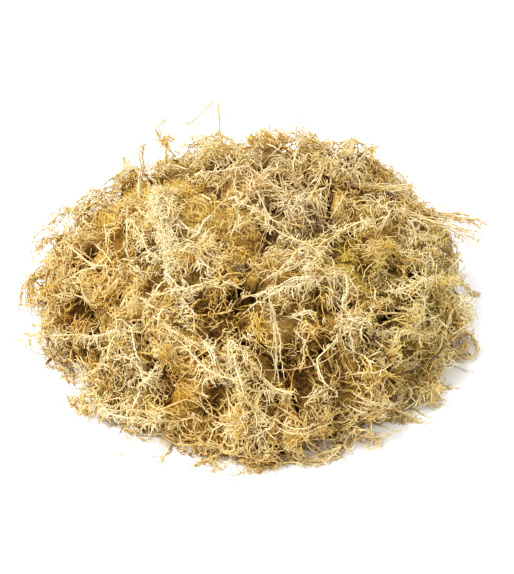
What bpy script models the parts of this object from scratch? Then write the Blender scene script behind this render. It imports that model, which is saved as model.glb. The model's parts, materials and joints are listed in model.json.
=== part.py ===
# A clump of dried long-fibred sphagnum moss, as it lies when tipped out on a table.
# The heap is a matted heart, wads of tangled moss leaning on it, sheaves and single leafy stems
# laid over the wads, star-shaped heads, loose sprigs at the foot and a few bits of debris.
# Metres, +Z up. The origin is the middle of the footprint, on the surface that the heap lies on.
# +X is the wide way of the heap and -Y the side that is seen from the front.

import math
import random

import bmesh
import bpy
from mathutils import Matrix, Vector, noise
from mathutils.bvhtree import BVHTree

MM = 0.001

# The heap without the strands that stand out of it
HEAP_HEIGHT = 78 * MM
DOME_POWER = 2.1  # 2 would be an ellipsoid, and more is squarer in the shoulders
REACH_STEP = 30  # degrees of bearing between the radii below, the first towards +X
REACH = [r * MM for r in (117, 114, 107, 107, 109, 115, 120, 113, 118, 126, 124, 121)]

GAP = 0.4 * MM  # between the solids of neighbouring pieces
FLOOR_GAP = 0.2 * MM  # between a lying strand and the table

# Wads: name, bearing and rise of the middle in degrees, half width, thickness, colour
WADS = [
    ("rim_wad_01", 2, 11, 39, 25, "olive"),
    ("rim_wad_02", 40, 12, 39, 25, "tan"),
    ("rim_wad_03", 80, 12, 38, 25, "straw"),
    ("rim_wad_04", 120, 12, 38, 25, "tan"),
    ("rim_wad_05", 158, 12, 38, 25, "tan"),
    ("rim_wad_06", 192, 11, 38, 25, "amber"),
    ("rim_wad_07", 228, 10, 39, 25, "straw"),
    ("rim_wad_08", 265, 10, 39, 26, "amber"),
    ("rim_wad_09", 298, 10, 36, 25, "straw"),
    ("rim_wad_10", 329, 10, 37, 25, "olive"),
    ("shoulder_wad_01", 20, 38, 39, 26, "straw"),
    ("shoulder_wad_02", 76, 41, 40, 25, "amber"),
    ("shoulder_wad_03", 134, 40, 39, 25, "straw"),
    ("shoulder_wad_04", 188, 37, 39, 26, "amber"),
    ("shoulder_wad_05", 240, 37, 39, 27, "straw"),
    ("shoulder_wad_06", 291, 40, 37, 24, "straw"),
    ("shoulder_wad_07", 333, 37, 36, 26, "olive"),
    ("crown_wad_01", 55, 74, 36, 23, "tan"),
    ("crown_wad_02", 205, 72, 37, 24, "straw"),
]
WAD_SUBDIVISIONS = 2
WAD_INSET = 6 * MM  # the felted core stays below the strands
WAD_LUMP = 5 * MM  # height of the lumps on a core
WAD_LUMP_SIZE = 15 * MM
WAD_UNDERSIDE = 0.25  # of the thickness, from the middle of a wad to the heart
HEART_SHARE = 0.8  # of the heap's own size
HEART_LUMP = 0.03
HEART_LUMPS = 5  # about how many lie round the heart
HEART_SUBDIVISIONS = 3

# Strands that are felted into a wad and run over it and past its edge
STRANDS_ON_A_WAD = 11
STRAND_LENGTH = (36 * MM, 62 * MM)
STRAND_RADIUS = (1.2 * MM, 1.8 * MM)
STRAND_STEP = 9 * MM
STRAND_HOVER = (0.3 * MM, 4.5 * MM)  # over the core
STRAND_FLARE = (0.5 * MM, 7 * MM)  # more at the tip
STRAND_TURN = 75  # degrees over its length, at most
STRAND_WANDER = 17  # degrees at a joint
MOST_TURN = 34  # degrees at one joint of a strand
STRAND_SWING = 1.1  # radians to either side of the way in which a wad is combed
ROOT_SUNK = 3.2  # radii
ROOT_SPREAD = 0.75  # of a wad's half width
LOWEST_ROOT = 0.04  # rise of the lowest root, as a slope
SPREAD_CHOICES = 6  # places tried for each root, to keep the strands evenly apart
FOOT_STRANDS = 3  # of a rim wad, run out over the table
FOOT_LENGTH = (22 * MM, 32 * MM)
FOOT_SUNK = 15 * MM  # from the heap's own surface to the root
FOOT_FAN = 62  # degrees to either side of straight out
FOOT_ROW = 0.22  # share of the fan by which the roots lie round the rim
FOOT_RISE = 1.5  # degrees
FOOT_TURN = 60  # degrees over its length, at most
FOOT_WANDER = 12  # degrees at a joint
SHAG = 0.22  # share by which a strand's thickness varies
SIDES = 3

# Side branches of a leafy stem
BRANCH_LENGTH = (5 * MM, 9 * MM)
BRANCH_RADIUS = 0.75 * MM
BRANCH_SPLAY = (32, 62)  # degrees from the stem
BRANCH_ROUND = (10, 100)  # degrees round the stem from its upper side
BRANCH_TRIES = 5
BRANCH_SPACING = 7 * MM

# Sheaves: name, start x and y, heading, length, turn, strands, spacing, colour
SHEAVES = [
    ("pale_sheaf", -43, 20, 270, 86, 4, 5, 3.2, "pale"),
    ("tan_sheaf", 20, 48, 10, 84, -16, 5, 3.0, "tan"),
    ("wing_sheaf", 78, 40, -8, 56, 24, 4, 2.8, "tan"),
]
SHEAF_RADIUS = 1.5 * MM
SHEAF_FLARE = 5 * MM
SHEAF_FAN = 0.35  # share of the length in which the strands part to their spacing
SHEAF_CLOSING = 1.4  # how far they turn back again, as a share of the parting angle
SHEAF_ROOT = 0.2  # of the spacing, between the roots
SHEAF_ENDS = (0.78, 1)  # of the length
SHEAF_WANDER = 3  # degrees at a joint

# Leafy stems over the heap: name, start x and y, heading, length, turn, loft, tip's rise, colour
STEMS = [
    ("leafy_stem_01", -50, -64, 8, 46, 8, 0, 2, "pale"),
    ("leafy_stem_02", -50, -77, -38, 78, -22, 0, 1, "pale"),
    ("leafy_stem_03", 16, -58, 48, 62, 12, 0, 2, "pale"),
    ("leafy_stem_04", 40, -58, 186, 44, 14, 0, 0, "straw"),
    ("leafy_stem_05", -50, -80, 152, 84, 12, 0, 8, "straw"),
    ("leafy_stem_06", -94, 8, -66, 50, -20, 0, 1, "straw"),
    ("leafy_stem_07", -11, -92, -84, 60, 6, 0, 2, "pale"),
    ("leafy_stem_08", -25, -118, 150, 58, -14, 0, 2, "pale"),
    ("leafy_stem_09", 50, 36, -43, 52, 24, 0, 1, "straw"),
    ("leafy_stem_10", 66, -60, 14, 50, 18, 0, 6, "olive"),
    ("leafy_stem_11", 60, -80, -4, 50, 20, 0, 6, "pale"),
    ("leafy_stem_12", -8, -8, -42, 48, -26, 2, 1, "pale"),
    ("leafy_stem_13", -64, -2, -56, 40, 18, 0, 0, "pale"),
    ("leafy_stem_14", -34, 28, -22, 50, -12, 0, 2, "tan"),
    ("arched_stem", -42, 72, 4, 40, -4, 19, 1, "straw"),
    ("leafy_stem_15", 4, 84, 160, 58, 30, 0, 2, "tan"),
    ("leafy_stem_16", 66, 62, 118, 52, 20, 0, 3, "olive"),
    ("leafy_stem_17", -72, 56, 228, 54, -24, 0, 4, "straw"),
    ("leafy_stem_18", -106, 26, 216, 34, 20, 0, 9, "straw"),
    ("leafy_stem_19", 102, -26, 50, 34, -24, 0, 9, "olive"),
]
STEM_RADIUS = 1.25 * MM
STEM_STEP = 8.5 * MM
STEM_WANDER = 10

# Sprigs on the table: name, start x and y, heading, length, turn, colour
SPRIGS = [
    ("loose_sprig_01", -18, -118, 214, 38, -40, "amber"),
    ("loose_sprig_02", 12, -121, -24, 44, 40, "straw"),
    ("loose_sprig_03", 46, -108, -28, 36, 50, "straw"),
    ("loose_sprig_04", 104, -46, 10, 42, 150, "straw"),
    ("loose_sprig_05", -96, -46, 176, 32, -24, "amber"),
    ("loose_sprig_06", 62, 80, 76, 32, -50, "straw"),
    ("loose_sprig_07", -64, 84, 104, 30, 46, "tan"),
]
SPRIG_RADIUS = 1.05 * MM

# Heads: name, x and y, radius, colour
HEADS = [
    ("head_01", 12, 66, 6.5, "amber"),
    ("head_02", -50, 62, 5.5, "amber"),
    ("head_03", 36, 60, 5.0, "olive"),
    ("head_04", -8, -122, 5.5, "pale"),
    ("head_05", 94, -78, 6.0, "amber"),
    ("head_06", -110, 2, 5.5, "amber"),
]
HEAD_CORE_SHARE = 0.5
HEAD_NEEDLES = 12
HEAD_NEEDLE_LENGTH = (1.2, 1.75)  # of the head's radius, from its middle
HEAD_NEEDLE_ROOT = 0.4  # of the core's radius
HEAD_COVER = 1.4  # of 2, the height from the top down that carries needles
HEAD_NEEDLE_RADIUS = 0.9 * MM

# Debris: name, x and y, heading, length, radius, colour
DEBRIS = [
    ("dark_twig", -108, -22, 124, 17, 1.0, "bark"),
    ("rush_stalk", 42, -92, 242, 42, 0.8, "stalk"),
    ("broken_stalk", 98, -62, 300, 26, 0.9, "bark"),
]
DEBRIS_SIDES = 5

COLOURS = {
    "heart": (0.23, 0.14, 0.05),
    "pale": (0.82, 0.70, 0.43),
    "straw": (0.70, 0.55, 0.27),
    "amber": (0.62, 0.41, 0.14),
    "tan": (0.58, 0.41, 0.22),
    "olive": (0.50, 0.44, 0.16),
    "bark": (0.12, 0.08, 0.05),
    "stalk": (0.48, 0.31, 0.20),
}
ROUGHNESS = 0.9

OUTSIDE = 0.5  # how far out a ray starts that looks for the surface of the heap
TABLE_CLIMB = 1.6  # rise against run where a lying strand is bent clear
PROBE = Vector((0.31, 0.17, 0.93)).normalized()  # way of the ray that tells inside from outside
LAYING_SWINGS = (0, 6, -6, 12, -12, 20, -20, 30, -30)  # degrees by which a blocked stem tries again
LIFTING_ROUNDS = 30
LIFT_MARGIN = 0.15 * MM
MOST_LIFT = 40 * MM
MOST_FELT_LIFT = 9 * MM  # a felted strand that would stand higher over its route is not laid
LIFT_SPREAD = 0.35  # share of a lift that the places beside it take up
SEAT = 0.3 * MM  # between a laid piece and what it lies on
SETTLING_STEP = 0.1 * MM
MOST_SETTLING = 6 * MM
SAMPLE = 1.6 * MM  # between the places where a strand's clearance is measured
CELL = 6 * MM  # of the grid in which those places are kept
SEED = 41


def clear_scene():
    for thing in list(bpy.data.objects):
        bpy.data.objects.remove(thing, do_unlink=True)


def moss_material(colour):
    made = bpy.data.materials.get(f"moss_{colour}")
    if made is None:
        made = bpy.data.materials.new(f"moss_{colour}")
        made.use_nodes = True
        shader = made.node_tree.nodes["Principled BSDF"]
        shader.inputs["Base Color"].default_value = (*COLOURS[colour], 1)
        shader.inputs["Roughness"].default_value = ROUGHNESS
    return made


def add_object(name, mesh, colour):
    made = bpy.data.objects.new(name, mesh)
    bpy.context.scene.collection.objects.link(made)
    made.data.materials.clear()
    made.data.materials.append(moss_material(colour))
    return made


def direction(bearing, rise):
    b, r = math.radians(bearing), math.radians(rise)
    return Vector((math.cos(b) * math.cos(r), math.sin(b) * math.cos(r), math.sin(r)))


def reach_at(x, y):
    # Plan radius of the heap towards a place, eased between the stated ones
    place = (math.degrees(math.atan2(y, x)) % 360) / REACH_STEP
    low = int(place) % len(REACH)
    share = 0.5 - 0.5 * math.cos(math.pi * (place - int(place)))
    return REACH[low] * (1 - share) + REACH[(low + 1) % len(REACH)] * share


def dome_point(way):
    # The heap's own surface in a direction from the middle of its foot
    rim = (math.hypot(way.x, way.y) / reach_at(way.x, way.y)) ** DOME_POWER
    top = (max(way.z, 0) / HEAP_HEIGHT) ** DOME_POWER
    return way * (rim + top) ** (-1 / DOME_POWER)


def dome_above(x, y):
    # The heap's own surface over a place on the table, all in millimetres
    x, y = x * MM, y * MM
    share = min(0.995, math.hypot(x, y) / reach_at(x, y))
    return Vector((x, y, HEAP_HEIGHT * (1 - share ** DOME_POWER) ** (1 / DOME_POWER)))


def dome_normal(way):
    step = 0.02
    side = way.cross(Vector((0, 0, 1))).normalized()
    up = side.cross(way)
    across = dome_point(way + side * step) - dome_point(way - side * step)
    along = dome_point(way + up * step) - dome_point(way - up * step)
    return along.cross(across).normalized()


def cut_flat(shape, point, normal):
    # Takes away what lies beyond a plane and closes the cut
    everything = shape.verts[:] + shape.edges[:] + shape.faces[:]
    cut = bmesh.ops.bisect_plane(
        shape, geom=everything, plane_co=point, plane_no=normal, clear_outer=True
    )
    rim = [part for part in cut["geom_cut"] if isinstance(part, bmesh.types.BMEdge)]
    if rim:
        bmesh.ops.contextual_create(shape, geom=rim)


def wad_frame(wad):
    # A wad's middle, outward axis, half width and thickness
    _, bearing, rise, width, thickness, _ = wad
    way = direction(bearing, rise)
    normal = dome_normal(way)
    return dome_point(way) - normal * thickness * MM, normal, width * MM, thickness * MM


def wad_underside(frame):
    middle, normal, _, thickness = frame
    return middle - normal * thickness * WAD_UNDERSIDE


def wad_core(index, frames):
    # A rough cushion under the heap's surface, cut off at each neighbour, the heart and the table
    middle, normal, width, thickness = frames[index]
    shape = bmesh.new()
    bmesh.ops.create_icosphere(shape, subdivisions=WAD_SUBDIVISIONS, radius=1)
    turn = normal.to_track_quat("Z", "Y").to_matrix()
    for v in shape.verts:
        place = middle + turn @ Vector((v.co.x * width, v.co.y * width, v.co.z * thickness))
        bump = noise.noise(place / WAD_LUMP_SIZE) * WAD_LUMP * 2
        way = place.normalized()
        if place.z > 0:
            place = way * min(place.length, dome_point(way).length - WAD_INSET)
        v.co = place + way * bump
    for other, (place, _, wide, _) in enumerate(frames):
        apart = place - middle
        if other == index or apart.length > width + wide:
            continue
        away = apart.normalized()
        cut_flat(shape, middle + apart * width / (width + wide) - away * GAP / 2, away)
    cut_flat(shape, wad_underside(frames[index]) + normal * GAP / 2, -normal)
    cut_flat(shape, Vector((0, 0, 0)), Vector((0, 0, -1)))
    return shape


def heart_shape(frames):
    shape = bmesh.new()
    bmesh.ops.create_icosphere(shape, subdivisions=HEART_SUBDIVISIONS, radius=1)
    for v in shape.verts:
        way = v.co.normalized()
        if way.z < 0:
            v.co = Vector((way.x, way.y, way.z * 0.1)) * REACH[0] * HEART_SHARE
        else:
            v.co = dome_point(way) * (HEART_SHARE + HEART_LUMP * noise.noise(way * HEART_LUMPS))
    cut_flat(shape, Vector((0, 0, 0)), Vector((0, 0, -1)))
    for frame in frames:
        cut_flat(shape, wad_underside(frame) - frame[1] * GAP / 2, frame[1])
    return shape


def closed_mesh(shape, name):
    bmesh.ops.remove_doubles(shape, verts=shape.verts, dist=0.02 * MM)
    bmesh.ops.dissolve_limit(
        shape, angle_limit=math.radians(0.5), verts=shape.verts, edges=shape.edges
    )
    bmesh.ops.triangulate(shape, faces=shape.faces)
    bmesh.ops.recalc_face_normals(shape, faces=shape.faces)
    mesh = bpy.data.meshes.new(name)
    shape.to_mesh(mesh)
    shape.free()
    return mesh


def strand_mesh(points, radii, sides=SIDES):
    # A strand with few sides, a flat root and a pointed tip
    shape = bmesh.new()
    across = (points[1] - points[0]).orthogonal()
    rings = []
    for i, point in enumerate(points[:-1]):
        ahead = (points[i + 1] - points[max(i - 1, 0)]).normalized()
        across = (across - ahead * across.dot(ahead)).normalized()
        other = ahead.cross(across)
        ring = []
        for k in range(sides):
            turn = 2 * math.pi * k / sides
            out = across * math.cos(turn) + other * math.sin(turn)
            ring.append(shape.verts.new(point + out * radii[i]))
        rings.append(ring)
    tip = shape.verts.new(points[-1])
    shape.faces.new(list(reversed(rings[0])))
    for low, high in zip(rings, rings[1:]):
        for k in range(sides):
            after = (k + 1) % sides
            shape.faces.new((low[k], low[after], high[after]))
            shape.faces.new((low[k], high[after], high[k]))
    for k in range(sides):
        shape.faces.new((rings[-1][k], rings[-1][(k + 1) % sides], tip))
    return closed_mesh(shape, "strand")


def is_inside(tree, place):
    # Counts the walls that a ray meets on its way out
    walls = 0
    hit = tree.ray_cast(place, PROBE)[0]
    while hit is not None:
        walls += 1
        hit = tree.ray_cast(hit + PROBE * 0.01 * MM, PROBE)[0]
    return walls % 2 == 1


def cell_of(place):
    return math.floor(place.x / CELL), math.floor(place.y / CELL), math.floor(place.z / CELL)


def tree_of(places, mesh):
    return BVHTree.FromPolygons(places, [tuple(face.vertices) for face in mesh.polygons])


class Heap:
    # What has been laid so far, so that the next strand can be bent clear of it.
    # A strand's owner is its node, or node.number where it may touch only the core of its node.

    def __init__(self):
        self.bodies = {}
        self.laid = {}
        self.finished = []

    def add_body(self, name, mesh):
        shape = bmesh.new()
        shape.from_mesh(mesh)
        middle = sum((v.co for v in shape.verts), Vector()) / len(shape.verts)
        size = max((v.co - middle).length for v in shape.verts)
        self.bodies[name] = (BVHTree.FromBMesh(shape), middle, size)
        shape.free()

    def add_strand(self, owner, points, radii):
        for place, radius in samples_along(points, radii):
            self.laid.setdefault(cell_of(place), []).append((owner, place, radius))

    def finish(self, node, parts=(), inward=None):
        # Takes in a finished node, first moved inward till it all but touches what it lies on
        move = Vector()
        if inward:
            move = inward * self.travel(node.data, inward)
            node.data.transform(Matrix.Translation(move))
        for points, radii in parts:
            self.add_strand(node.name, [point + move for point in points], radii)
        self.finished.append(tree_of([v.co for v in node.data.vertices], node.data))

    def travel(self, mesh, inward):
        swollen = [v.co + v.normal * SEAT for v in mesh.vertices]
        room = min(v.co.z for v in mesh.vertices) - FLOOR_GAP
        steps = round(MOST_SETTLING / SETTLING_STEP)
        for step in range(1, steps + 1):
            move = inward * step * SETTLING_STEP
            tree = tree_of([place + move for place in swollen], mesh)
            if room + move.z < 0 or any(tree.overlap(other) for other in self.finished):
                return (step - 1) * SETTLING_STEP
        return 0.0

    def surface(self, way):
        # The outermost core in a direction, as its distance and name
        best, found = 0.0, None
        for name, (tree, _, _) in self.bodies.items():
            hit = tree.ray_cast(way * OUTSIDE, -way)[0]
            if hit is not None and hit.length > best:
                best, found = hit.length, name
        return best, found

    def near(self, place):
        x, y, z = cell_of(place)
        for i in (x - 1, x, x + 1):
            for j in (y - 1, y, y + 1):
                for k in (z - 1, z, z + 1):
                    yield from self.laid.get((i, j, k), ())

    def shortfall(self, place, radius, owner):
        # How much closer than allowed a place is to another piece
        worst = 0.0
        node = owner.split(".")[0]
        for name, (tree, middle, size) in self.bodies.items():
            if name == node or (place - middle).length > size + radius + GAP:
                continue
            spot, normal, _, distance = tree.find_nearest(place)
            if (place - spot).dot(normal) < 0 and is_inside(tree, place):
                distance = -distance
            worst = max(worst, radius + GAP - distance)
        for other, spot, thick in self.near(place):
            if other != owner:
                worst = max(worst, radius + thick + GAP - (place - spot).length)
        return worst

    def crowding(self, place):
        # Nearness of the closest strand, in metres up to a cell's size
        return min([CELL] + [(place - spot).length for _, spot, _ in self.near(place)])


def samples_along(points, radii):
    # Places and radii every SAMPLE along a strand
    found = []
    for i in range(len(points) - 1):
        count = max(1, math.ceil((points[i + 1] - points[i]).length / SAMPLE))
        for k in range(count):
            share = k / count
            place = points[i].lerp(points[i + 1], share)
            found.append((place, radii[i] * (1 - share) + radii[i + 1] * share))
    found.append((points[-1], radii[-1]))
    return found


def is_clear(heap, points, radii, owner):
    for place, radius in samples_along(points, radii):
        if place.z < radius + FLOOR_GAP or heap.shortfall(place, radius, owner) > 0:
            return False
    return True


def thicknesses(count, radius, rng):
    # Radii of a shaggy strand that thins towards its tip
    found = []
    for i in range(count):
        share = i / (count - 1)
        found.append(radius * (1 - 0.6 * share ** 2.4) * rng.uniform(1 - SHAG, 1 + SHAG))
    return found


def bearing_off(ahead, axis, turn, drift, count):
    bend = max(-MOST_TURN, min(MOST_TURN, turn / count + drift))
    return Matrix.Rotation(math.radians(bend), 3, axis) @ ahead


def route_over(heap, start, heading, length, turn, step, rng, wander):
    # Places on the cores' surface, each with the way out of the heap and the core's name
    count = max(3, round(length / step))
    way = start.normalized()
    ahead = (heading - way * heading.dot(way)).normalized()
    ways, distances, names = [], [], []
    drift = 0.0
    for _ in range(count + 1):
        distance, name = heap.surface(way)
        ways.append(way)
        distances.append(max(distance, dome_point(way).length * 0.7))
        names.append(name)
        drift = 0.6 * drift + rng.uniform(-wander, wander)
        ahead = bearing_off(ahead, way, turn, drift, count)
        place = way * distances[-1] + ahead * step
        place.z = max(place.z, STRAND_RADIUS[0])
        way = place.normalized()
        ahead = (ahead - way * ahead.dot(way)).normalized()
    route = []
    for i, way in enumerate(ways):
        around = distances[max(i - 1, 0)] + distances[min(i + 1, count)]
        route.append((way * max(distances[i], (2 * distances[i] + around) / 4), way, names[i]))
    return route


def route_on_table(start, heading, length, turn, step, rng, wander):
    # Places on the table, each with the way up and out of the heap
    count = max(3, round(length / step))
    place = Vector((start.x, start.y, 0))
    ahead = heading.copy()
    route = []
    drift = 0.0
    for _ in range(count + 1):
        route.append((place.copy(), (place.normalized() + Vector((0, 0, TABLE_CLIMB))).normalized(), None))
        drift = 0.6 * drift + rng.uniform(-wander, wander)
        ahead = bearing_off(ahead, Vector((0, 0, 1)), turn, drift, count)
        place = place + ahead * step
    return route


def bent_clear(heap, route, lifts, radii, owner, most=MOST_LIFT):
    # Points of a strand over its route, lifted till it is clear of every other piece, or None
    planned, lifts = lifts, lifts[:]
    for _ in range(LIFTING_ROUNDS):
        points = [place + out * lift for (place, out, _), lift in zip(route, lifts)]
        for point, radius in zip(points, radii):
            point.z = max(point.z, radius + 2 * FLOOR_GAP)
        lacks = [0.0] * len(points)
        for i, point in enumerate(points):
            after = min(i + 1, len(points) - 1)
            thick = max(radii[i], radii[after])
            for share in (0, 0.2, 0.4, 0.6, 0.8):
                lack = heap.shortfall(point.lerp(points[after], share), thick, owner)
                lacks[i] = max(lacks[i], lack)
                if share:
                    lacks[after] = max(lacks[after], lack)
        if max(h - low for h, low in zip(lifts, planned)) > most:
            return None
        if max(lacks) <= 0:
            return points
        for i, lack in enumerate(lacks):
            if lack > 0:
                lifts[i] += lack + LIFT_MARGIN
                for beside in (i - 1, i + 1):
                    if 0 < beside < len(lifts):
                        lifts[beside] += lack * LIFT_SPREAD
    return None


def branches_along(heap, points, radii, owner, count, rng):
    # Short side branches of a leafy stem, leaning to its tip, where they are clear of all else
    found = []
    for n in range(count):
        place = 0.7 + (len(points) - 2.0) * (n + rng.uniform(0.2, 0.8)) / count
        i = min(int(place), len(points) - 2)
        root = points[i].lerp(points[i + 1], place - i)
        ahead = (points[i + 1] - points[i]).normalized()
        outward = root.normalized()
        side = ahead.cross(outward).normalized()
        for _ in range(BRANCH_TRIES):
            around = math.radians(rng.choice((-1, 1)) * rng.uniform(*BRANCH_ROUND))
            lean = outward * math.cos(around) + side * math.sin(around)
            splay = math.radians(rng.uniform(*BRANCH_SPLAY))
            along = ahead * math.cos(splay) + lean * math.sin(splay)
            tip = root + along * rng.uniform(*BRANCH_LENGTH)
            thick = [BRANCH_RADIUS, BRANCH_RADIUS * 0.3]
            if is_clear(heap, [root.lerp(tip, 0.2), tip], thick, owner):
                found.append(([root, tip], thick))
                break
    return found


def fuse(base, parts):
    # One Boolean union joins a node's repeats to it. A scrap that stays loose is dropped, and where
    # the result touches itself the last repeat is left out.
    bare = base.data.copy()
    while parts:
        group = bpy.data.collections.new(f"{base.name}_parts")
        bpy.context.scene.collection.children.link(group)
        for part in parts:
            group.objects.link(bpy.data.objects.new("repeat", strand_mesh(*part)))
        join = base.modifiers.new("join", "BOOLEAN")
        join.operation = "UNION"
        join.operand_type = "COLLECTION"
        join.collection = group
        join.solver = "MANIFOLD"
        with bpy.context.temp_override(object=base, active_object=base):
            bpy.ops.object.modifier_apply(modifier=join.name)
        for thing in list(group.objects):
            bpy.data.objects.remove(thing, do_unlink=True)
        bpy.data.collections.remove(group)
        if keep_largest_body(base.data):
            return
        base.data = bare.copy()
        parts = parts[:-1]


def keep_largest_body(mesh):
    # Whether what is left is closed, with two faces at each edge
    shape = bmesh.new()
    shape.from_mesh(mesh)
    bmesh.ops.remove_doubles(shape, verts=shape.verts, dist=0.002 * MM)
    unseen, bodies = set(shape.faces), []
    while unseen:
        todo, body = [unseen.pop()], []
        while todo:
            face = todo.pop()
            body.append(face)
            for edge in face.edges:
                for other in edge.link_faces:
                    if other in unseen:
                        unseen.discard(other)
                        todo.append(other)
        bodies.append(body)
    bodies.sort(key=len)
    for body in bodies[:-1]:
        bmesh.ops.delete(shape, geom=body, context="FACES")
    bmesh.ops.triangulate(shape, faces=shape.faces)
    closed = all(len(edge.link_faces) == 2 for edge in shape.edges)
    shape.to_mesh(mesh)
    shape.free()
    return closed


def felt_strands(heap, name, frame, rng):
    # Strands rooted in a wad's core, each started where there are the fewest others
    middle, normal, width, thickness = frame
    across = normal.orthogonal().normalized()
    other = normal.cross(across)
    flow = rng.uniform(0, 2 * math.pi)
    made = []
    for k in range(STRANDS_ON_A_WAD * 3):
        if len(made) == STRANDS_ON_A_WAD:
            break
        roots = []
        for _ in range(SPREAD_CHOICES):
            around, out = rng.uniform(0, 2 * math.pi), width * ROOT_SPREAD * math.sqrt(rng.random())
            place = middle + (across * math.cos(around) + other * math.sin(around)) * out
            way = (place + normal * thickness).normalized()
            distance, found = heap.surface(way)
            if found == name and way.z > LOWEST_ROOT:
                roots.append((heap.crowding(way * (distance + STRAND_HOVER[1])), way))
        if not roots:
            continue
        way = max(roots, key=lambda root: root[0])[1]
        swing = flow + rng.uniform(-STRAND_SWING, STRAND_SWING)
        heading = across * math.cos(swing) + other * math.sin(swing)
        turn = rng.uniform(-STRAND_TURN, STRAND_TURN)
        length = rng.uniform(*STRAND_LENGTH)
        route = route_over(heap, way, heading, length, turn, STRAND_STEP, rng, STRAND_WANDER)
        radius = rng.uniform(*STRAND_RADIUS)
        hover, flare = rng.uniform(*STRAND_HOVER), rng.uniform(*STRAND_FLARE)
        last = len(route) - 1
        lifts = [radius + hover + flare * (i / last) ** 2 for i in range(last + 1)]
        lifts[0] = -radius * ROOT_SUNK
        owner = f"{name}.{k}"
        radii = thicknesses(len(route), radius, rng)
        points = bent_clear(heap, route, lifts, radii, owner, MOST_FELT_LIFT)
        if points:
            made.append((points, radii))
            heap.add_strand(owner, points, radii)
    return made


def foot_strands(heap, name, bearing, rng):
    # Strands that run from a rim wad out over the table
    made = []
    for k in range(FOOT_STRANDS):
        fan = FOOT_FAN * (2 * (k + rng.random()) / FOOT_STRANDS - 1)
        rim = dome_point(direction(bearing + fan * FOOT_ROW, FOOT_RISE))
        start = rim - rim.normalized() * FOOT_SUNK
        heading = Matrix.Rotation(math.radians(fan), 3, "Z") @ Vector((rim.x, rim.y, 0)).normalized()
        length = rng.uniform(*FOOT_LENGTH)
        turn = rng.uniform(-FOOT_TURN, FOOT_TURN)
        route = route_on_table(start, heading, length, turn, STRAND_STEP, rng, FOOT_WANDER)
        radii = thicknesses(len(route), STRAND_RADIUS[0], rng)
        owner = f"{name}.foot{k}"
        points = bent_clear(heap, route, [0.0] * len(route), radii, owner, MOST_FELT_LIFT)
        if points:
            made.append((points, radii))
            heap.add_strand(owner, points, radii)
    return made


def lay_stem(heap, name, start, heading, length, turn, radius, rng, loft=0, rise=0, on_table=False):
    # One stem with the branches that find room
    level = Vector((math.cos(math.radians(heading)), math.sin(math.radians(heading)), 0))
    for swing in LAYING_SWINGS:
        aim = Matrix.Rotation(math.radians(swing), 3, "Z") @ level
        if on_table:
            route = route_on_table(start, aim, length, turn, STEM_STEP, rng, STEM_WANDER)
        else:
            route = route_over(heap, start, aim, length, turn, STEM_STEP, rng, STEM_WANDER)
        radii = thicknesses(len(route), radius, rng)
        shares = [i / (len(route) - 1) for i in range(len(route))]
        lifts = [loft * math.sin(math.pi * s) + rise * s * s for s in shares]
        lifts = [lift + (0 if on_table else radius + GAP) for lift in lifts]
        points = bent_clear(heap, route, lifts, radii, name)
        if points:
            return points, radii
    raise RuntimeError(f"{name} finds no way over the heap")


def build_wads(heap, frames, rng):
    nodes = []
    for index, wad in enumerate(WADS):
        mesh = closed_mesh(wad_core(index, frames), wad[0])
        nodes.append(add_object(wad[0], mesh, wad[5]))
        heap.add_body(wad[0], mesh)
    for node, wad, frame in zip(nodes, WADS, frames):
        parts = felt_strands(heap, wad[0], frame, rng)
        if wad[0].startswith("rim"):
            parts += foot_strands(heap, wad[0], wad[1], rng)
        fuse(node, parts)
        heap.finish(node)


def build_sheaves(heap, rng):
    # Strands that share a root and run on side by side
    for name, x, y, heading, length, turn, count, spacing, colour in SHEAVES:
        start = dome_above(x, y)
        side = Vector((-math.sin(math.radians(heading)), math.cos(math.radians(heading)), 0))
        parts = []
        for k in range(count):
            off = (k - (count - 1) / 2) * spacing * MM
            aim = math.degrees(math.atan2(off, length * MM * SHEAF_FAN)) + heading
            level = Vector((math.cos(math.radians(aim)), math.sin(math.radians(aim)), 0))
            reach = length * MM * rng.uniform(*SHEAF_ENDS)
            bend = turn - SHEAF_CLOSING * (aim - heading)
            root = start + side * off * SHEAF_ROOT
            route = route_over(heap, root, level, reach, bend, STRAND_STEP, rng, SHEAF_WANDER)
            radii = thicknesses(len(route), SHEAF_RADIUS, rng)
            last = len(route) - 1
            hover = SHEAF_RADIUS + GAP
            lifts = [hover + k % 2 * MM * i / last + SHEAF_FLARE * (i / last) ** 3 for i in range(last + 1)]
            lifts[0] = lifts[1] = hover + MM
            points = bent_clear(heap, route, lifts, radii, name)
            if points:
                parts.append((points, radii))
        sheaf = add_object(name, strand_mesh(*parts[0]), colour)
        fuse(sheaf, parts[1:])
        heap.finish(sheaf, parts, inward_from(parts[0][0]))


def inward_from(points):
    return -sum(points, Vector()).normalized()


def add_leafy(heap, name, points, radii, length, colour, rng, on_table=False):
    branches = branches_along(heap, points, radii, name, round(length / BRANCH_SPACING), rng)
    stem = add_object(name, strand_mesh(points, radii), colour)
    fuse(stem, branches)
    inward = inward_from(points)
    if on_table:
        inward = Vector((inward.x, inward.y, 0)).normalized()
    heap.finish(stem, [(points, radii)] + branches, inward)


def build_stems(heap, rng):
    for name, x, y, heading, length, turn, loft, rise, colour in STEMS:
        points, radii = lay_stem(
            heap, name, dome_above(x, y), heading, length * MM, turn, STEM_RADIUS, rng, loft * MM, rise * MM
        )
        add_leafy(heap, name, points, radii, length * MM, colour, rng)
    for name, x, y, heading, length, turn, colour in SPRIGS:
        points, radii = lay_stem(
            heap, name, dome_above(x, y), heading, length * MM, turn, SPRIG_RADIUS, rng, on_table=True
        )
        add_leafy(heap, name, points, radii, length * MM, colour, rng, on_table=True)


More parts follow.
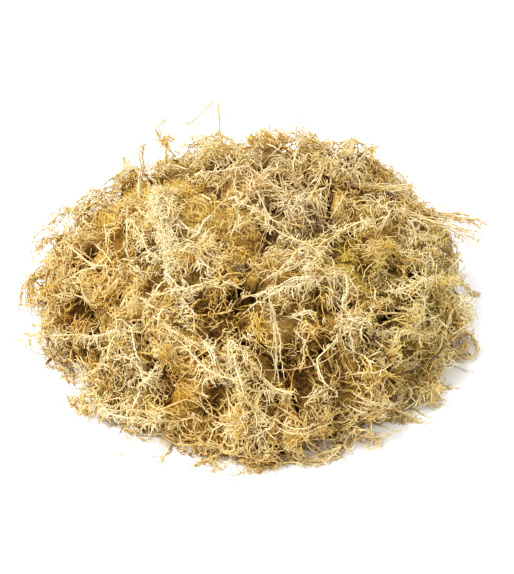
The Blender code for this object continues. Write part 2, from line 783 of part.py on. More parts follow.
def build_heads(heap, rng):
    # A star of short needles round a small core
    for name, x, y, size, colour in HEADS:
        way = dome_above(x, y).normalized()
        size *= MM
        core = size * HEAD_CORE_SHARE
        distance = heap.surface(way)[0]
        while heap.shortfall(way * distance, core, name) > 0:
            distance += LIFT_MARGIN
        centre = way * distance
        centre.z = max(centre.z, core + 2 * FLOOR_GAP)
        shape = bmesh.new()
        bmesh.ops.create_icosphere(shape, subdivisions=1, radius=core, matrix=Matrix.Translation(centre))
        needles = []
        for k in range(HEAD_NEEDLES):
            high = 1 - HEAD_COVER * (k + 0.5) / HEAD_NEEDLES
            turn = k * math.pi * (3 - math.sqrt(5))
            flat = math.sqrt(1 - high * high)
            spoke = Vector((flat * math.cos(turn), flat * math.sin(turn), high))
            spoke = way.to_track_quat("Z", "Y") @ spoke
            tip = centre + spoke * size * rng.uniform(*HEAD_NEEDLE_LENGTH)
            thick = [HEAD_NEEDLE_RADIUS, HEAD_NEEDLE_RADIUS * 0.3]
            if is_clear(heap, [centre + spoke * core, tip], thick, name):
                needles.append(([centre + spoke * core * HEAD_NEEDLE_ROOT, tip], thick))
        head = add_object(name, closed_mesh(shape, name), colour)
        fuse(head, needles)
        heap.finish(head, needles + [([centre, centre + way * MM], [core, core])], -way)


def build_debris(heap, rng):
    for name, x, y, heading, length, radius, colour in DEBRIS:
        points, radii = lay_stem(
            heap, name, dome_above(x, y), heading, length * MM, 0, radius * MM, rng
        )
        stick = add_object(name, strand_mesh(points, radii, DEBRIS_SIDES), colour)
        heap.finish(stick, [(points, radii)], inward_from(points))


def centre_on_footprint():
    # Puts the origin at the middle of the footprint
    corners = [v.co for thing in bpy.context.scene.objects for v in thing.data.vertices]
    spans = [(min(c[k] for c in corners), max(c[k] for c in corners)) for k in range(2)]
    shift = Matrix.Translation((-sum(spans[0]) / 2, -sum(spans[1]) / 2, 0))
    for thing in bpy.context.scene.objects:
        thing.data.transform(shift)


def main():
    rng = random.Random(SEED)
    clear_scene()
    frames = [wad_frame(wad) for wad in WADS]
    heap = Heap()
    heart = add_object("matted_heart", closed_mesh(heart_shape(frames), "matted_heart"), "heart")
    heap.add_body(heart.name, heart.data)
    heap.finish(heart)
    build_wads(heap, frames, rng)
    build_sheaves(heap, rng)
    build_stems(heap, rng)
    build_heads(heap, rng)
    build_debris(heap, rng)
    centre_on_footprint()
    for thing in bpy.context.scene.objects:
        print(f"{thing.name}: {len(thing.data.polygons)} triangles")


main()
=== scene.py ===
import json
import math

import bpy
import numpy as np
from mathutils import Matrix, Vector, noise
from mathutils.bvhtree import BVHTree


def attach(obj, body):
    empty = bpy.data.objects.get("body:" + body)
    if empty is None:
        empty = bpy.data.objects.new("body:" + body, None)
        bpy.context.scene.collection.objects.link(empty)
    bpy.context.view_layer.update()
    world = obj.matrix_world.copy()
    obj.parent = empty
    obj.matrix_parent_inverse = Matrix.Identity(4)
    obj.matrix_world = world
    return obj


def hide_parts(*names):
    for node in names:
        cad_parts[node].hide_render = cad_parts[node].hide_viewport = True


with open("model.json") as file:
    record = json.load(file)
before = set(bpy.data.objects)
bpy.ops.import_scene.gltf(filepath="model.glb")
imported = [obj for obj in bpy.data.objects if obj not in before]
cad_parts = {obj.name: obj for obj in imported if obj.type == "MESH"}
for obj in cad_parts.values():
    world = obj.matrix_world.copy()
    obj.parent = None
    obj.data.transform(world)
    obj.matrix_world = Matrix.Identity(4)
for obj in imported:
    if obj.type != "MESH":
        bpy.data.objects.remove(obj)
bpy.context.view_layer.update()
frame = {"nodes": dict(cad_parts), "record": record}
nodes = frame["nodes"]
slotOf = {row["node"]: row["material_slot"] for row in frame["record"]["subparts"]}
mm = 0.001
dice = np.random.default_rng(41)
print("heap loaded:", len(nodes), "nodes")


def span(ends, count):
    return dice.uniform(*ends, count)


def unitOf(v):
    return v / np.maximum(np.linalg.norm(v, axis=-1, keepdims=True), 1e-12)


# How high over the table each thing stays at least.
clear = {
    "core": 0.4 * mm,
    "thread": 0.5 * mm,
    "strand": 0.6 * mm,
    "skin": 0.2 * mm,         # the lowest face of any shoot
    "skinRound": 0.1 * mm,    # kept of its roundness there
}


def offTable(places, lowest):
    places[..., 2] = np.maximum(places[..., 2], lowest)
    return places


camera = {
    "elevation": 37.0,        # degrees above the table
    "distance": 0.95,
    "aim": (0.007, 0.0, 0.0225),
    "frameHeight": 0.3157,    # what the tall side of the picture takes in, at the aim
    "sensor": 36,
    "nearest": 0.01,
    "wide": 514,
    "tall": 574,
}


def placeCamera(look):
    tilt = math.radians(look["elevation"])
    back = Vector((0, -math.cos(tilt), math.sin(tilt)))
    bpy.ops.object.camera_add(location=Vector(look["aim"]) + back * look["distance"])
    made = bpy.context.object
    made.name = "studioCamera"
    made.rotation_euler = (math.pi / 2 - tilt, 0, 0)
    made.data.sensor_width = look["sensor"]
    made.data.lens = look["sensor"] * look["distance"] / look["frameHeight"]
    made.data.clip_start = look["nearest"]
    bpy.context.scene.camera = made


placeCamera(camera)


# A place in the picture as a ray into the scene.
def rayThrough(px, py, look=camera):
    tilt = math.radians(look["elevation"])
    right = np.array((1.0, 0.0, 0.0))
    up = np.array((0.0, math.sin(tilt), math.cos(tilt)))
    onward = np.array((0.0, math.cos(tilt), -math.sin(tilt)))
    eye = np.array(look["aim"]) - onward * look["distance"]
    unit = look["frameHeight"] / look["tall"]
    at = np.array(look["aim"]) + right * (px - look["wide"] / 2) * unit + up * (look["tall"] / 2 - py) * unit
    return eye, unitOf(at - eye)


# Where that ray comes down to a height over the table.
def onLevel(px, py, height=0.0):
    eye, way = rayThrough(px, py)
    return eye + way * (height - eye[2]) / way[2]


# The heap's outside is read from the frame as a guide, on a round grid of rays about its heart.
ground = {
    "heart": (0.0, 0.0, -0.030),   # the rays run in to this point
    "widest": 84.0,                # degrees from straight up
    "cells": 260,
    "rayFrom": 0.4,
    "floor": 0.0006,               # what lies lower counts as table
    "tableFar": 0.22,
    "softening": 2,                # rounds of blur for the drape
    "normalSoftening": 5,
}


def meshOf(name):
    data = nodes[name].data
    data.calc_loop_triangles()
    co = np.zeros(len(data.vertices) * 3, np.float32)
    data.vertices.foreach_get("co", co)
    tri = np.zeros(len(data.loop_triangles) * 3, np.int32)
    data.loop_triangles.foreach_get("vertices", tri)
    return co.reshape(-1, 3).astype(float), tri.reshape(-1, 3)


# A copy of a node's mesh with its loose triangles joined.
def merged(name, grain=1e-5):
    co, tri = meshOf(name)
    rounded = np.round(co / grain).astype(np.int64)
    _, first, back = np.unique(rounded, axis=0, return_index=True, return_inverse=True)
    tri = back.reshape(-1)[tri]
    kept = (tri[:, 0] != tri[:, 1]) & (tri[:, 1] != tri[:, 2]) & (tri[:, 0] != tri[:, 2])
    return co[first], tri[kept]


wadNames = sorted(n for n in nodes if "wad" in n or n == "matted_heart")


class Drape:
    def __init__(self, look):
        self.heart = np.array(look["heart"])
        self.widest = math.radians(look["widest"])
        self.cells = look["cells"]
        self.readWads()
        side = np.linspace(-1, 1, self.cells)
        u, v = np.meshgrid(side, side, indexing="ij")
        radius = np.sqrt(u * u + v * v)
        self.inside = radius <= 1.0
        polar = np.minimum(radius, 1.0) * self.widest
        around = np.arctan2(v, u)
        level = np.sin(polar)
        self.way = np.stack([level * np.cos(around), level * np.sin(around), np.cos(polar)], -1)
        self.sharp, self.owner = self.castIn(look)
        self.soft = self.blur(self.sharp, look["softening"])
        self.normals = self.normalsOf(self.blur(self.sharp, look["normalSoftening"]))

    def readWads(self):
        meshes = [meshOf(name) for name in wadNames]
        bases = np.cumsum([0] + [len(co) for co, tri in meshes])
        points = np.concatenate([co for co, tri in meshes])
        faces = np.concatenate([tri + base for (co, tri), base in zip(meshes, bases)])
        self.owners = np.repeat(np.arange(len(meshes)), [len(tri) for co, tri in meshes])
        self.tree = BVHTree.FromPolygons([Vector(p) for p in points], faces.tolist(), epsilon=0)

    # How far out the heap reaches along each ray, and whose wad is met there.
    def castIn(self, look):
        start = look["rayFrom"]
        table = (look["floor"] - self.heart[2]) / np.maximum(self.way[..., 2], 1e-3)
        reach = np.minimum(table, look["tableFar"])
        owner = np.full(reach.shape, -1)
        for i in range(self.cells):
            for j in range(self.cells):
                d = Vector(self.way[i, j])
                hit, _, face, far = self.tree.ray_cast(Vector(self.heart) + d * start, -d, start)
                if hit is not None and hit.z >= look["floor"]:
                    reach[i, j] = start - far
                    owner[i, j] = self.owners[face]
        return reach, owner

    def blur(self, field, rounds):
        for _ in range(rounds):
            p = np.pad(field, 1, mode="edge")
            field = sum(p[a:a + self.cells, b:b + self.cells] for a in range(3) for b in range(3)) / 9
        return field

    def placesOf(self, field):
        return self.heart + self.way * field[..., None]

    def normalsOf(self, field):
        at = self.placesOf(field)
        n = unitOf(np.cross(np.gradient(at, axis=0), np.gradient(at, axis=1)))
        flip = np.sign((n * self.way).sum(-1, keepdims=True))
        return n * np.where(flip == 0, 1, flip)

    # Where a point lies on the grid, as fractions of cells.
    def cellOf(self, p):
        way = unitOf(p - self.heart)
        polar = np.arccos(np.clip(way[..., 2], -1, 1))
        around = np.arctan2(way[..., 1], way[..., 0])
        r = np.minimum(polar / self.widest, 1.0)
        u = (r * np.cos(around) + 1) / 2 * (self.cells - 1)
        v = (r * np.sin(around) + 1) / 2 * (self.cells - 1)
        return u, v

    def read(self, field, p):
        u, v = self.cellOf(p)
        i = np.clip(u.astype(int), 0, self.cells - 2)
        j = np.clip(v.astype(int), 0, self.cells - 2)
        fu, fv = u - i, v - j
        if field.ndim == 3:
            fu, fv = fu[..., None], fv[..., None]
        return (
            field[i, j] * (1 - fu) * (1 - fv) + field[i + 1, j] * fu * (1 - fv)
            + field[i, j + 1] * (1 - fu) * fv + field[i + 1, j + 1] * fu * fv
        )

    def ownerAt(self, p):
        i, j = (np.rint(f).astype(int).clip(0, self.cells - 1) for f in self.cellOf(p))
        return self.owner[i, j]

    # The draped place under a point, and the heap's normal there.
    def under(self, p, field=None):
        far = self.read(self.laid if field is None else field, p)
        n = unitOf(self.read(self.normals, p))
        return self.heart + unitOf(p - self.heart) * far[..., None], n


drape = Drape(ground)
print("outside of the heap read,", int((drape.owner >= 0).sum()), "rays met it")


# Lumps on the heap, and the deep gaps between them.
relief = {
    "lump": 6.4 * mm,
    "lumpSize": 17 * mm,
    "ripple": 2.3 * mm,
    "rippleSize": 7 * mm,
    "rippleAt": (9, 3, 5),    # so that it doesn't follow the lumps
    "gaps": [    # place in the picture, radius and depth in mm
        (78, 306, 6, 11), (170, 293, 5, 13), (167, 226, 5, 11), (222, 303, 9, 11), (257, 288, 6, 11),
        (250, 348, 7, 11), (290, 371, 7, 11), (318, 306, 7, 10), (325, 340, 5, 10), (333, 366, 6, 10),
        (310, 374, 7, 9), (303, 397, 6, 7), (386, 288, 6, 10), (240, 328, 6, 9), (381, 330, 5, 9),
        (370, 352, 6, 9), (385, 225, 6, 9), (100, 355, 7, 11), (92, 228, 5, 9), (132, 244, 5, 9),
        (152, 286, 5, 9), (300, 262, 5, 8), (215, 335, 5, 8), (60, 335, 5, 7), (335, 235, 5, 8),
        (440, 300, 6, 8), (268, 228, 5, 8), (215, 385, 5, 8), (150, 372, 6, 8), (418, 268, 5, 8),
        (90, 255, 5, 7), (280, 205, 5, 7), (345, 300, 5, 8), (395, 375, 6, 8), (190, 200, 4, 7),
        (125, 405, 5, 7), (226, 308, 14, 5), (305, 366, 15, 5), (262, 292, 11, 5), (246, 336, 12, 4),
        (388, 332, 12, 3), (118, 240, 12, 3), (320, 300, 11, 4), (78, 318, 10, 4), (150, 290, 10, 3),
    ],
    "gapEdge": 1.6,           # in radii
    "gapsBehind": 26,
    "behindFrom": 0.035,
    "behindRadius": (5, 8),   # mm
    "behindDepth": (7, 11),
    "swells": [    # place in the picture, radius and height in mm
        (318, 172, 20, 17), (352, 175, 17, 15), (300, 164, 13, 11), (272, 152, 12, 3), (128, 198, 18, 7),
        (165, 178, 18, 7), (64, 250, 18, 7), (44, 300, 14, 5), (240, 156, 12, 4), (402, 198, 16, -10),
        (450, 268, 14, -3),
    ],
    "swellRise": 18 * mm,     # no swell at the foot, all of it from this height up
    "skinDip": 1 * mm,        # how far the outer skin follows a hollow
    "skinSoftening": 4,
    "laidInGaps": 0.8,        # share of a gap's depth that the threads follow
}


# Where the ray through a place in the picture meets the wads, or else the table.
def placeOn(px, py):
    eye, way = rayThrough(px, py)
    hit = drape.tree.ray_cast(Vector(eye), Vector(way))[0]
    return onLevel(px, py) if hit is None else np.array(hit)


def makeRelief(look):
    at = drape.placesOf(drape.soft)
    flat = at.reshape(-1, 3)
    aside = Vector(look["rippleAt"])
    lump = np.array([noise.noise(Vector(q) / look["lumpSize"]) for q in flat])
    ripple = np.array([noise.noise(Vector(q) / look["rippleSize"] + aside) for q in flat])
    rough = 2 * (lump * look["lump"] + ripple * look["ripple"]).reshape(drape.soft.shape)
    gaps = [(placeOn(px, py), radius * mm, depth * mm) for px, py, radius, depth in look["gaps"]]
    behind = np.argwhere((drape.owner >= 0) & (at[..., 1] > look["behindFrom"]))
    for i, j in behind[dice.choice(len(behind), look["gapsBehind"], replace=False)]:
        radius = span(look["behindRadius"], 1)[0] * mm
        gaps.append((at[i, j], radius, span(look["behindDepth"], 1)[0] * mm))
    sunk = np.zeros(drape.soft.shape)
    for centre, radius, depth in gaps:
        far = np.linalg.norm(at - centre, axis=-1)
        sunk = np.maximum(sunk, depth * np.clip(look["gapEdge"] - far / radius, 0, 1))
    swell = np.zeros(drape.soft.shape)
    for px, py, radius, height in look["swells"]:
        far = np.linalg.norm(at - placeOn(px, py), axis=-1) / (radius * mm)
        swell += height * mm * np.exp(-far * far)
    swell *= np.clip(at[..., 2] / look["swellRise"], 0, 1)
    return rough + swell, sunk, swell, gaps


lumps, sunken, swollen, gaps = makeRelief(relief)
drape.outer = drape.blur(drape.soft + np.maximum(lumps, -relief["skinDip"]), relief["skinSoftening"])
drape.laid = drape.soft + lumps - sunken * relief["laidInGaps"]
print("lumps and gaps set out, gaps:", len(gaps))


# How far a place lies under the heap's outer skin.
def depthUnder(p):
    return drape.read(drape.outer, p) - np.linalg.norm(p - drape.heart, axis=-1)


# How far out loose threads may reach, by sectors round the heap.
rim = {
    "sectors": 72,
    "reached": 99.5,          # percentile of what the wads reach in a sector
    "margin": 6 * mm,
    "frontMargin": 2.5 * mm,
    "front": [    # where the heap ends on the table, from the left round to the right, in the picture
        (22, 322), (32, 345), (42, 366), (60, 384), (82, 396), (98, 420), (118, 434), (142, 447),
        (165, 455), (190, 466), (215, 464), (240, 456), (262, 463), (290, 467), (320, 464), (345, 450),
        (370, 448), (392, 436), (415, 431), (438, 408), (456, 386), (476, 362), (484, 335), (480, 300),
    ],
}


def sectorOf(at):
    wide = 360 / rim["sectors"]
    return (np.degrees(np.arctan2(at[..., 1], at[..., 0])) // wide).astype(int) % rim["sectors"]


def reachOf(look):
    at = drape.placesOf(drape.sharp)
    met = drape.owner >= 0
    sector = sectorOf(at)
    out = np.hypot(at[..., 0], at[..., 1])
    far = np.array([np.percentile(out[met & (sector == a)], look["reached"]) for a in range(look["sectors"])])
    far = sum(np.roll(far, a) for a in (-1, 0, 1)) / 3 + look["margin"]
    ends = np.array([onLevel(px, py) for px, py in look["front"]])
    angle = np.degrees(np.arctan2(ends[:, 1], ends[:, 0])) % 360
    middle = (np.arange(look["sectors"]) + 0.5) * 360 / look["sectors"]
    front = np.interp(middle, angle, np.hypot(ends[:, 0], ends[:, 1])) + look["frontMargin"]
    return np.where((middle > angle[0]) & (middle < angle[-1]), np.minimum(front, far), far)


rimFar = reachOf(rim)


# What repeats is modelled once, along X from 0 to 1, with a radius of 1.
branchShapes = {
    "thread": {"girths": (0.9, 1.05, 0.95, 0.85), "scales": ()},
    "curl": {"girths": (0.8, 1.0, 0.85, 1.05, 0.85, 1.0, 0.85, 0.75), "scales": ()},
    "knotted": {"girths": (0.8, 1.2, 0.8, 1.2, 0.85), "scales": ()},
    "leafy": {"girths": (0.8, 0.95, 0.8, 0.9, 0.6), "scales": (0.3, 0.6)},
    "stem": {
        "girths": (0.9, 1.05, 0.9, 1.1, 0.92, 1.06, 0.86, 1.05, 0.9, 1.0, 0.84, 0.95, 0.75, 0.5),
        "scales": (),
    },
}
scaleLook = {"onward": 0.09, "out": 1.6, "tip": 0.25, "sideTilt": 0.6, "ringWide": 0.02}


# A three-sided shoot drawn out ring by ring to a point, with small scales pulled out of its sides.
def modelShoot(name, shape):
    girths = shape["girths"]
    step = 1.0 / (len(girths) - 0.5)      # the tip is half a step long
    bpy.ops.object.select_all(action="DESELECT")
    bpy.ops.mesh.primitive_circle_add(
        vertices=3, radius=girths[0], fill_type="NGON", rotation=(0, math.pi / 2, 0))
    made = bpy.context.object
    made.name = name
    bpy.ops.object.transform_apply(rotation=True)
    bpy.ops.object.mode_set(mode="EDIT")
    bpy.ops.mesh.select_all(action="SELECT")
    for i in range(1, len(girths)):
        bpy.ops.mesh.extrude_region_move(TRANSFORM_OT_translate={"value": (step, 0, 0)})
        k = girths[i] / girths[i - 1]
        bpy.ops.transform.resize(value=(1, k, k), center_override=(i * step, 0, 0))
    bpy.ops.mesh.extrude_region_move(TRANSFORM_OT_translate={"value": (step / 2, 0, 0)})
    bpy.ops.mesh.merge(type="CENTER")
    bpy.ops.object.mode_set(mode="OBJECT")
    for turn, at in enumerate(shape["scales"]):
        drawOutScale(made, at, turn, scaleLook)
    bpy.ops.object.mode_set(mode="EDIT")
    bpy.ops.mesh.select_all(action="SELECT")
    bpy.ops.mesh.normals_make_consistent(inside=False)
    bpy.ops.mesh.quads_convert_to_tris()
    bpy.ops.object.mode_set(mode="OBJECT")
    co, tri = pointsAndFaces(made)
    bpy.data.objects.remove(made)
    return co, tri


def pointsAndFaces(made):
    made.data.calc_loop_triangles()
    co = np.array([v.co[:] for v in made.data.vertices])
    return co, np.array([t.vertices[:] for t in made.data.loop_triangles])


# One side face at that place along the shoot is pulled out and onward to a small tip.
def drawOutScale(made, at, turn, look):
    bpy.ops.object.mode_set(mode="EDIT")
    bpy.ops.mesh.select_all(action="DESELECT")
    bpy.ops.object.mode_set(mode="OBJECT")
    sides = [f for f in made.data.polygons if abs(f.normal.x) < look["sideTilt"] and len(f.vertices) == 4]
    near = min(abs(f.center.x - at) for f in sides)
    ring = [f for f in sides if abs(f.center.x - at) < near + look["ringWide"]]
    ring.sort(key=lambda f: math.atan2(f.center.z, f.center.y))
    face = ring[turn % len(ring)]
    face.select = True
    out = Vector((look["onward"], face.normal.y * look["out"], face.normal.z * look["out"]))
    tip = face.center + out
    bpy.ops.object.mode_set(mode="EDIT")
    bpy.ops.mesh.extrude_region_move(TRANSFORM_OT_translate={"value": out})
    bpy.ops.transform.resize(value=[look["tip"]] * 3, center_override=tip)
    bpy.ops.object.mode_set(mode="OBJECT")


shoots = {name: modelShoot(name, shape) for name, shape in branchShapes.items()}
print("shoots modelled:", {name: len(tri) for name, (co, tri) in shoots.items()})


# The map of a piece: a strip for each shoot below, and a band for the felted core above.
mapLook = {"strips": 0.84, "stripWide": 0.92, "stripTall": 0.86, "inset": 0.05, "band": (0.86, 0.13)}
# How shade deepens under the heap's skin, from 0 to the most.
shadeLook = {"from": 1.4 * mm, "over": 8 * mm, "most": 0.92}


# All the shoots and the core of one piece, gathered as arrays and made one mesh at the end.
class Batch:
    def __init__(self):
        self.points, self.faces, self.maps, self.strips = [], [], [], []
        self.values = {label: [] for label in ("tone", "along", "shade", "hue", "felt")}
        self.count = 0

    def addMesh(self, co, tri, uv, **values):
        self.points.append(co)
        self.faces.append(tri + self.count)
        self.maps.append(uv)
        for label, rows in self.values.items():
            rows.append(np.broadcast_to(values[label], len(co)))
        self.count += len(co)

    # A shoot of one kind along each line: lines (K, S, 3), with an up, girth, tone and hue for
    # each line or for all.
    def addShoots(self, kind, lines, up, girth, tone, hue):
        if not len(lines):
            return
        co, tri = shoots[kind]
        k, s = lines.shape[:2]
        v = len(co)
        way = np.empty_like(lines)
        way[:, 1:-1] = lines[:, 2:] - lines[:, :-2]
        way[:, 0] = lines[:, 1] - lines[:, 0]
        way[:, -1] = lines[:, -1] - lines[:, -2]
        way = unitOf(way)
        side = np.empty_like(lines)
        ref = np.broadcast_to(up, (k, 3))
        for i in range(s):        # the frame is carried along, so that it doesn't flip
            across = ref - way[:, i] * (ref * way[:, i]).sum(-1, keepdims=True)
            weak = np.linalg.norm(across, axis=-1) < 1e-6
            across[weak] = np.cross(way[weak, i], (0.3, 0.5, 0.8))
            ref = unitOf(across)
            side[:, i] = ref
        other = np.cross(way, side)
        f = co[:, 0] * (s - 1)
        i0 = np.clip(f.astype(int), 0, s - 2)
        t = (f - i0)[None, :, None]
        at, a, b = (rows[:, i0] * (1 - t) + rows[:, i0 + 1] * t for rows in (lines, side, other))
        g = np.broadcast_to(girth, k)[:, None, None]
        places = at + a * co[None, :, 2:3] * g + b * co[None, :, 1:2] * g
        offTable(places, clear["skin"] + clear["skinRound"] * (co[None, :, 2] + 1))
        faces = tri[None] + (np.arange(k) * v)[:, None, None]
        across = (co[:, 1] - co[:, 1].min()) / np.ptp(co[:, 1])
        uv = np.stack([np.broadcast_to(co[:, 0], (k, v)), np.broadcast_to(across, (k, v))], -1)
        self.strips.append((len(self.maps), k))
        self.addMesh(
            places.reshape(-1, 3), faces.reshape(-1, 3), uv,
            tone=np.repeat(np.broadcast_to(tone, k), v), hue=np.repeat(np.broadcast_to(hue, k), v),
            along=np.tile(co[:, 0], k), shade=0.0, felt=0.0,
        )

    def packMap(self, look):
        total = sum(k for _, k in self.strips)
        rows = max(1, math.ceil(math.sqrt(total * 4)))
        columns = math.ceil(total / rows)
        size = np.array([look["stripWide"] / max(columns, 1), look["strips"] * look["stripTall"] / rows])
        done = 0
        for where, k in self.strips:
            n = np.arange(done, done + k)
            low = np.stack([(n % columns) / columns, (n // columns) / rows * look["strips"]], -1)[:, None]
            self.maps[where] = (low + self.maps[where] * size + size * look["inset"]).reshape(-1, 2)
            done += k

    def finish(self, name):
        self.packMap(mapLook)
        points = np.concatenate(self.points).astype(np.float32)
        faces = np.concatenate(self.faces).astype(np.int32)
        mesh = bpy.data.meshes.new(name)
        mesh.vertices.add(len(points))
        mesh.vertices.foreach_set("co", points.ravel())
        mesh.loops.add(len(faces) * 3)
        mesh.loops.foreach_set("vertex_index", faces.ravel())
        mesh.polygons.add(len(faces))
        mesh.polygons.foreach_set("loop_start", np.arange(len(faces), dtype=np.int32) * 3)
        mesh.polygons.foreach_set("use_smooth", np.ones(len(faces), bool))
        mesh.update(calc_edges=True)
        uv = np.concatenate(self.maps).astype(np.float32)[faces.ravel()]
        mesh.uv_layers.new(name="OFBake").uv.foreach_set("vector", uv.ravel())
        values = {label: np.concatenate(rows) for label, rows in self.values.items()}
        # Painted shade: each point is darkened by how deep it lies under the heap's outer skin.
        deep = (depthUnder(points) - shadeLook["from"]) / shadeLook["over"]
        values["shade"] = np.maximum(values["shade"], np.clip(deep, 0, shadeLook["most"]))
        for label, rows in values.items():
            attribute = mesh.attributes.new(label, "FLOAT", "POINT")
            attribute.data.foreach_set("value", rows.astype(np.float32))
        mesh.validate()
        made = bpy.data.objects.new(name, mesh)
        bpy.context.scene.collection.objects.link(made)
        return made


batches = {name: Batch() for name in nodes}


# Turns vectors about axes, row by row.
def turned(v, axis, angle):
    c = np.cos(angle)[..., None]
    s = np.sin(angle)[..., None]
    return v * c + np.cross(axis, v) * s + axis * (axis * v).sum(-1, keepdims=True) * (1 - c)


curlLook = {"sideways": 0.95, "withinLock": 0.3, "axisDrift": 0.3}


# Curling lines: each starts at a root, sets off one way and turns a little at every step.
def curls(root, way, up, length, bend, wave, steps=7, lock=None, look=curlLook):
    k = len(root)
    lines = np.empty((k, steps, 3))
    lines[:, 0] = root
    d = unitOf(way)
    axis = unitOf(np.cross(up, d) + 1e-6)       # turns the line back down to the heap
    if lock is None:
        lean = dice.normal(0, look["sideways"], k)
    else:        # the branches of one lock turn together
        lean = dice.normal(0, look["sideways"], lock.max() + 1)[lock] + dice.normal(0, look["withinLock"], k)
    axis = turned(axis, d, lean)
    kink = dice.normal(0, 1, (k, steps))
    for i in range(1, steps):
        d = turned(d, axis, bend / steps + wave * kink[:, i])
        drift = dice.normal(0, look["axisDrift"], (k, 3))
        axis = unitOf(axis - d * (axis * d).sum(-1, keepdims=True) + drift)
        lines[:, i] = lines[:, i - 1] + d * (length / (steps - 1))[:, None]
    return offTable(lines, clear["thread"])


# Places along lines, and the way the line runs there: which line, and how far along from 0 to 1.
def onLines(lines, which, at):
    steps = lines.shape[1]
    f = np.clip(at, 0, 1) * (steps - 1)
    i = np.clip(f.astype(int), 0, steps - 2)
    t = (f - i)[..., None]
    a, b = lines[which, i], lines[which, i + 1]
    return a * (1 - t) + b * t, unitOf(b - a)


# Lines that run out past the rim are cut back to it.
def keptIn(lines):
    out = np.hypot(lines[..., 0], lines[..., 1]) > rimFar[sectorOf(lines)]
    steps = lines.shape[1]
    first = np.where(out.any(1), out.argmax(1), steps - 1)
    share = np.maximum(first, 2) / (steps - 1)
    row = np.arange(len(lines))[:, None]
    return onLines(lines, row, share[:, None] * np.linspace(0, 1, steps)[None])[0], share


# Sorts shoots into kinds by their shares; the last kind takes what is left.
def sortedKinds(count, kinds):
    kind = dice.random(count)
    tops = np.cumsum(list(kinds.values()))
    tops[-1] = 1.0
    low = 0.0
    for label, high in zip(kinds, tops):
        yield label, (kind >= low) & (kind < high)
        low = high


def spreadKinds(owner, lines, up, girth, tone, hue, kinds):
    for label, these in sortedKinds(len(lines), kinds):
        for i, name in enumerate(wadNames):
            mine = these & (owner == i)
            batches[name].addShoots(label, lines[mine], up[mine], girth[mine], tone[mine], hue[mine])


# The felted core of each wad: its own solid, sunk a little and lumpy.
coreLook = {
    "subdivisions": 1,
    "shrink": 1.1 * mm,
    "thin": 4.5 * mm,         # the wad's strands are thinner than this
    "thinShrink": 0.43,       # share of a strand's thickness
    "lump": 0.8 * mm,
    "lumpSize": 4 * mm,
    "gapEdge": 1.5,           # in radii
    "swellShare": 0.8,
    "swellRise": 10 * mm,
    "shadeFrom": 1.0 * mm,
    "shadeOver": 7 * mm,
    "shadeLeast": 0.32,
    "tone": 0.35,
}


# How far each point has to go in: by the whole shrink where the wad is thick, and to a
# thin thread where it is one of the wad's strands.
def shrinkOf(co, tri, normals, look):
    tree = BVHTree.FromPolygons([Vector(p) for p in co], tri.tolist())
    amount = np.full(len(co), look["shrink"])
    for i in range(len(co)):
        inward = Vector(-normals[i])
        hit = tree.ray_cast(Vector(co[i]) + inward * 0.05 * mm, inward, look["thin"])[0]
        if hit is not None:
            amount[i] = (hit - Vector(co[i])).length * look["thinShrink"]
    return amount


def displace(made, name, strength, level):
    push = made.modifiers.new(name, "DISPLACE")
    push.strength = strength
    push.mid_level = level
    return push


def feltCore(name, look):
    co, tri = merged(name)
    bpy.ops.object.select_all(action="DESELECT")
    mesh = bpy.data.meshes.new(name + "_felt")
    mesh.from_pydata(co.tolist(), [], tri.tolist())
    made = bpy.data.objects.new(name + "_felt", mesh)
    bpy.context.scene.collection.objects.link(made)
    made.select_set(True)
    bpy.context.view_layer.objects.active = made
    amount = shrinkOf(co, tri, np.array([v.normal[:] for v in mesh.vertices]), look)
    depth = made.vertex_groups.new(name="depth")
    most = float(amount.max())
    for i, much in enumerate(amount):
        depth.add([i], float(much / most), "REPLACE")
    displace(made, "shrink", -most, 0).vertex_group = "depth"
    bpy.ops.object.modifier_apply(modifier="shrink")
    bpy.ops.object.mode_set(mode="EDIT")
    bpy.ops.mesh.select_all(action="SELECT")
    bpy.ops.mesh.subdivide(number_cuts=look["subdivisions"])
    bpy.ops.mesh.quads_convert_to_tris()
    bpy.ops.object.mode_set(mode="OBJECT")
    texture = bpy.data.textures.get("feltLumps") or bpy.data.textures.new("feltLumps", "CLOUDS")
    texture.noise_scale = look["lumpSize"]
    rough = displace(made, "rough", look["lump"] * 2, 0.5)
    rough.texture = texture
    rough.texture_coords = "LOCAL"
    bpy.ops.object.modifier_apply(modifier="rough")
    places, faces = pointsAndFaces(made)
    bpy.data.objects.remove(made)
    return offTable(places, clear["core"]), faces


def addCore(name, look):
    places, faces = feltCore(name, look)
    inward = unitOf(drape.heart - places)
    for centre, radius, depth in gaps:
        far = np.linalg.norm(places - centre, axis=1)
        places += inward * (depth * np.clip(look["gapEdge"] - far / radius, 0, 1))[:, None]
    moved = drape.read(look["swellShare"] * swollen + np.minimum(lumps - swollen, 0), places)
    places -= inward * (moved * np.clip(places[:, 2] / look["swellRise"], 0, 1))[:, None]
    offTable(places, clear["core"])
    low, high = places.min(0), places.max(0)
    share = (places - low) / (high - low)
    start, tall = mapLook["band"]
    uv = np.stack([share[:, 0], start + tall * share[:, 1]], -1)
    # Painted shade on the core: darker the deeper it lies under the heap's outer skin, never below the least
    # share, and the matted heart is painted in full shade.
    shade = np.clip((depthUnder(places) - look["shadeFrom"]) / look["shadeOver"], look["shadeLeast"], 1.0)
    if name == "matted_heart":
        shade[:] = 1
    tone = look["tone"]
    batches[name].addMesh(places, faces, uv, tone=tone, along=tone, hue=tone, shade=shade, felt=1.0)


for name in wadNames:
    addCore(name, coreLook)
print("felt cores shaped:", len(wadNames))


# How thickly threads start over the outside of the heap.
startLook = {
    "steepest": 95,           # percentile at which a cell's area is cut off
    "front": 1.25,
    "behind": 0.8,
    "behindFrom": 0.02,
    "lump": 3.5 * mm,         # twice as many on a lump of this height
    "most": 2.0,
    "gap": 5 * mm,            # none but the least in a gap of this depth
    "stray": 0.004,
}


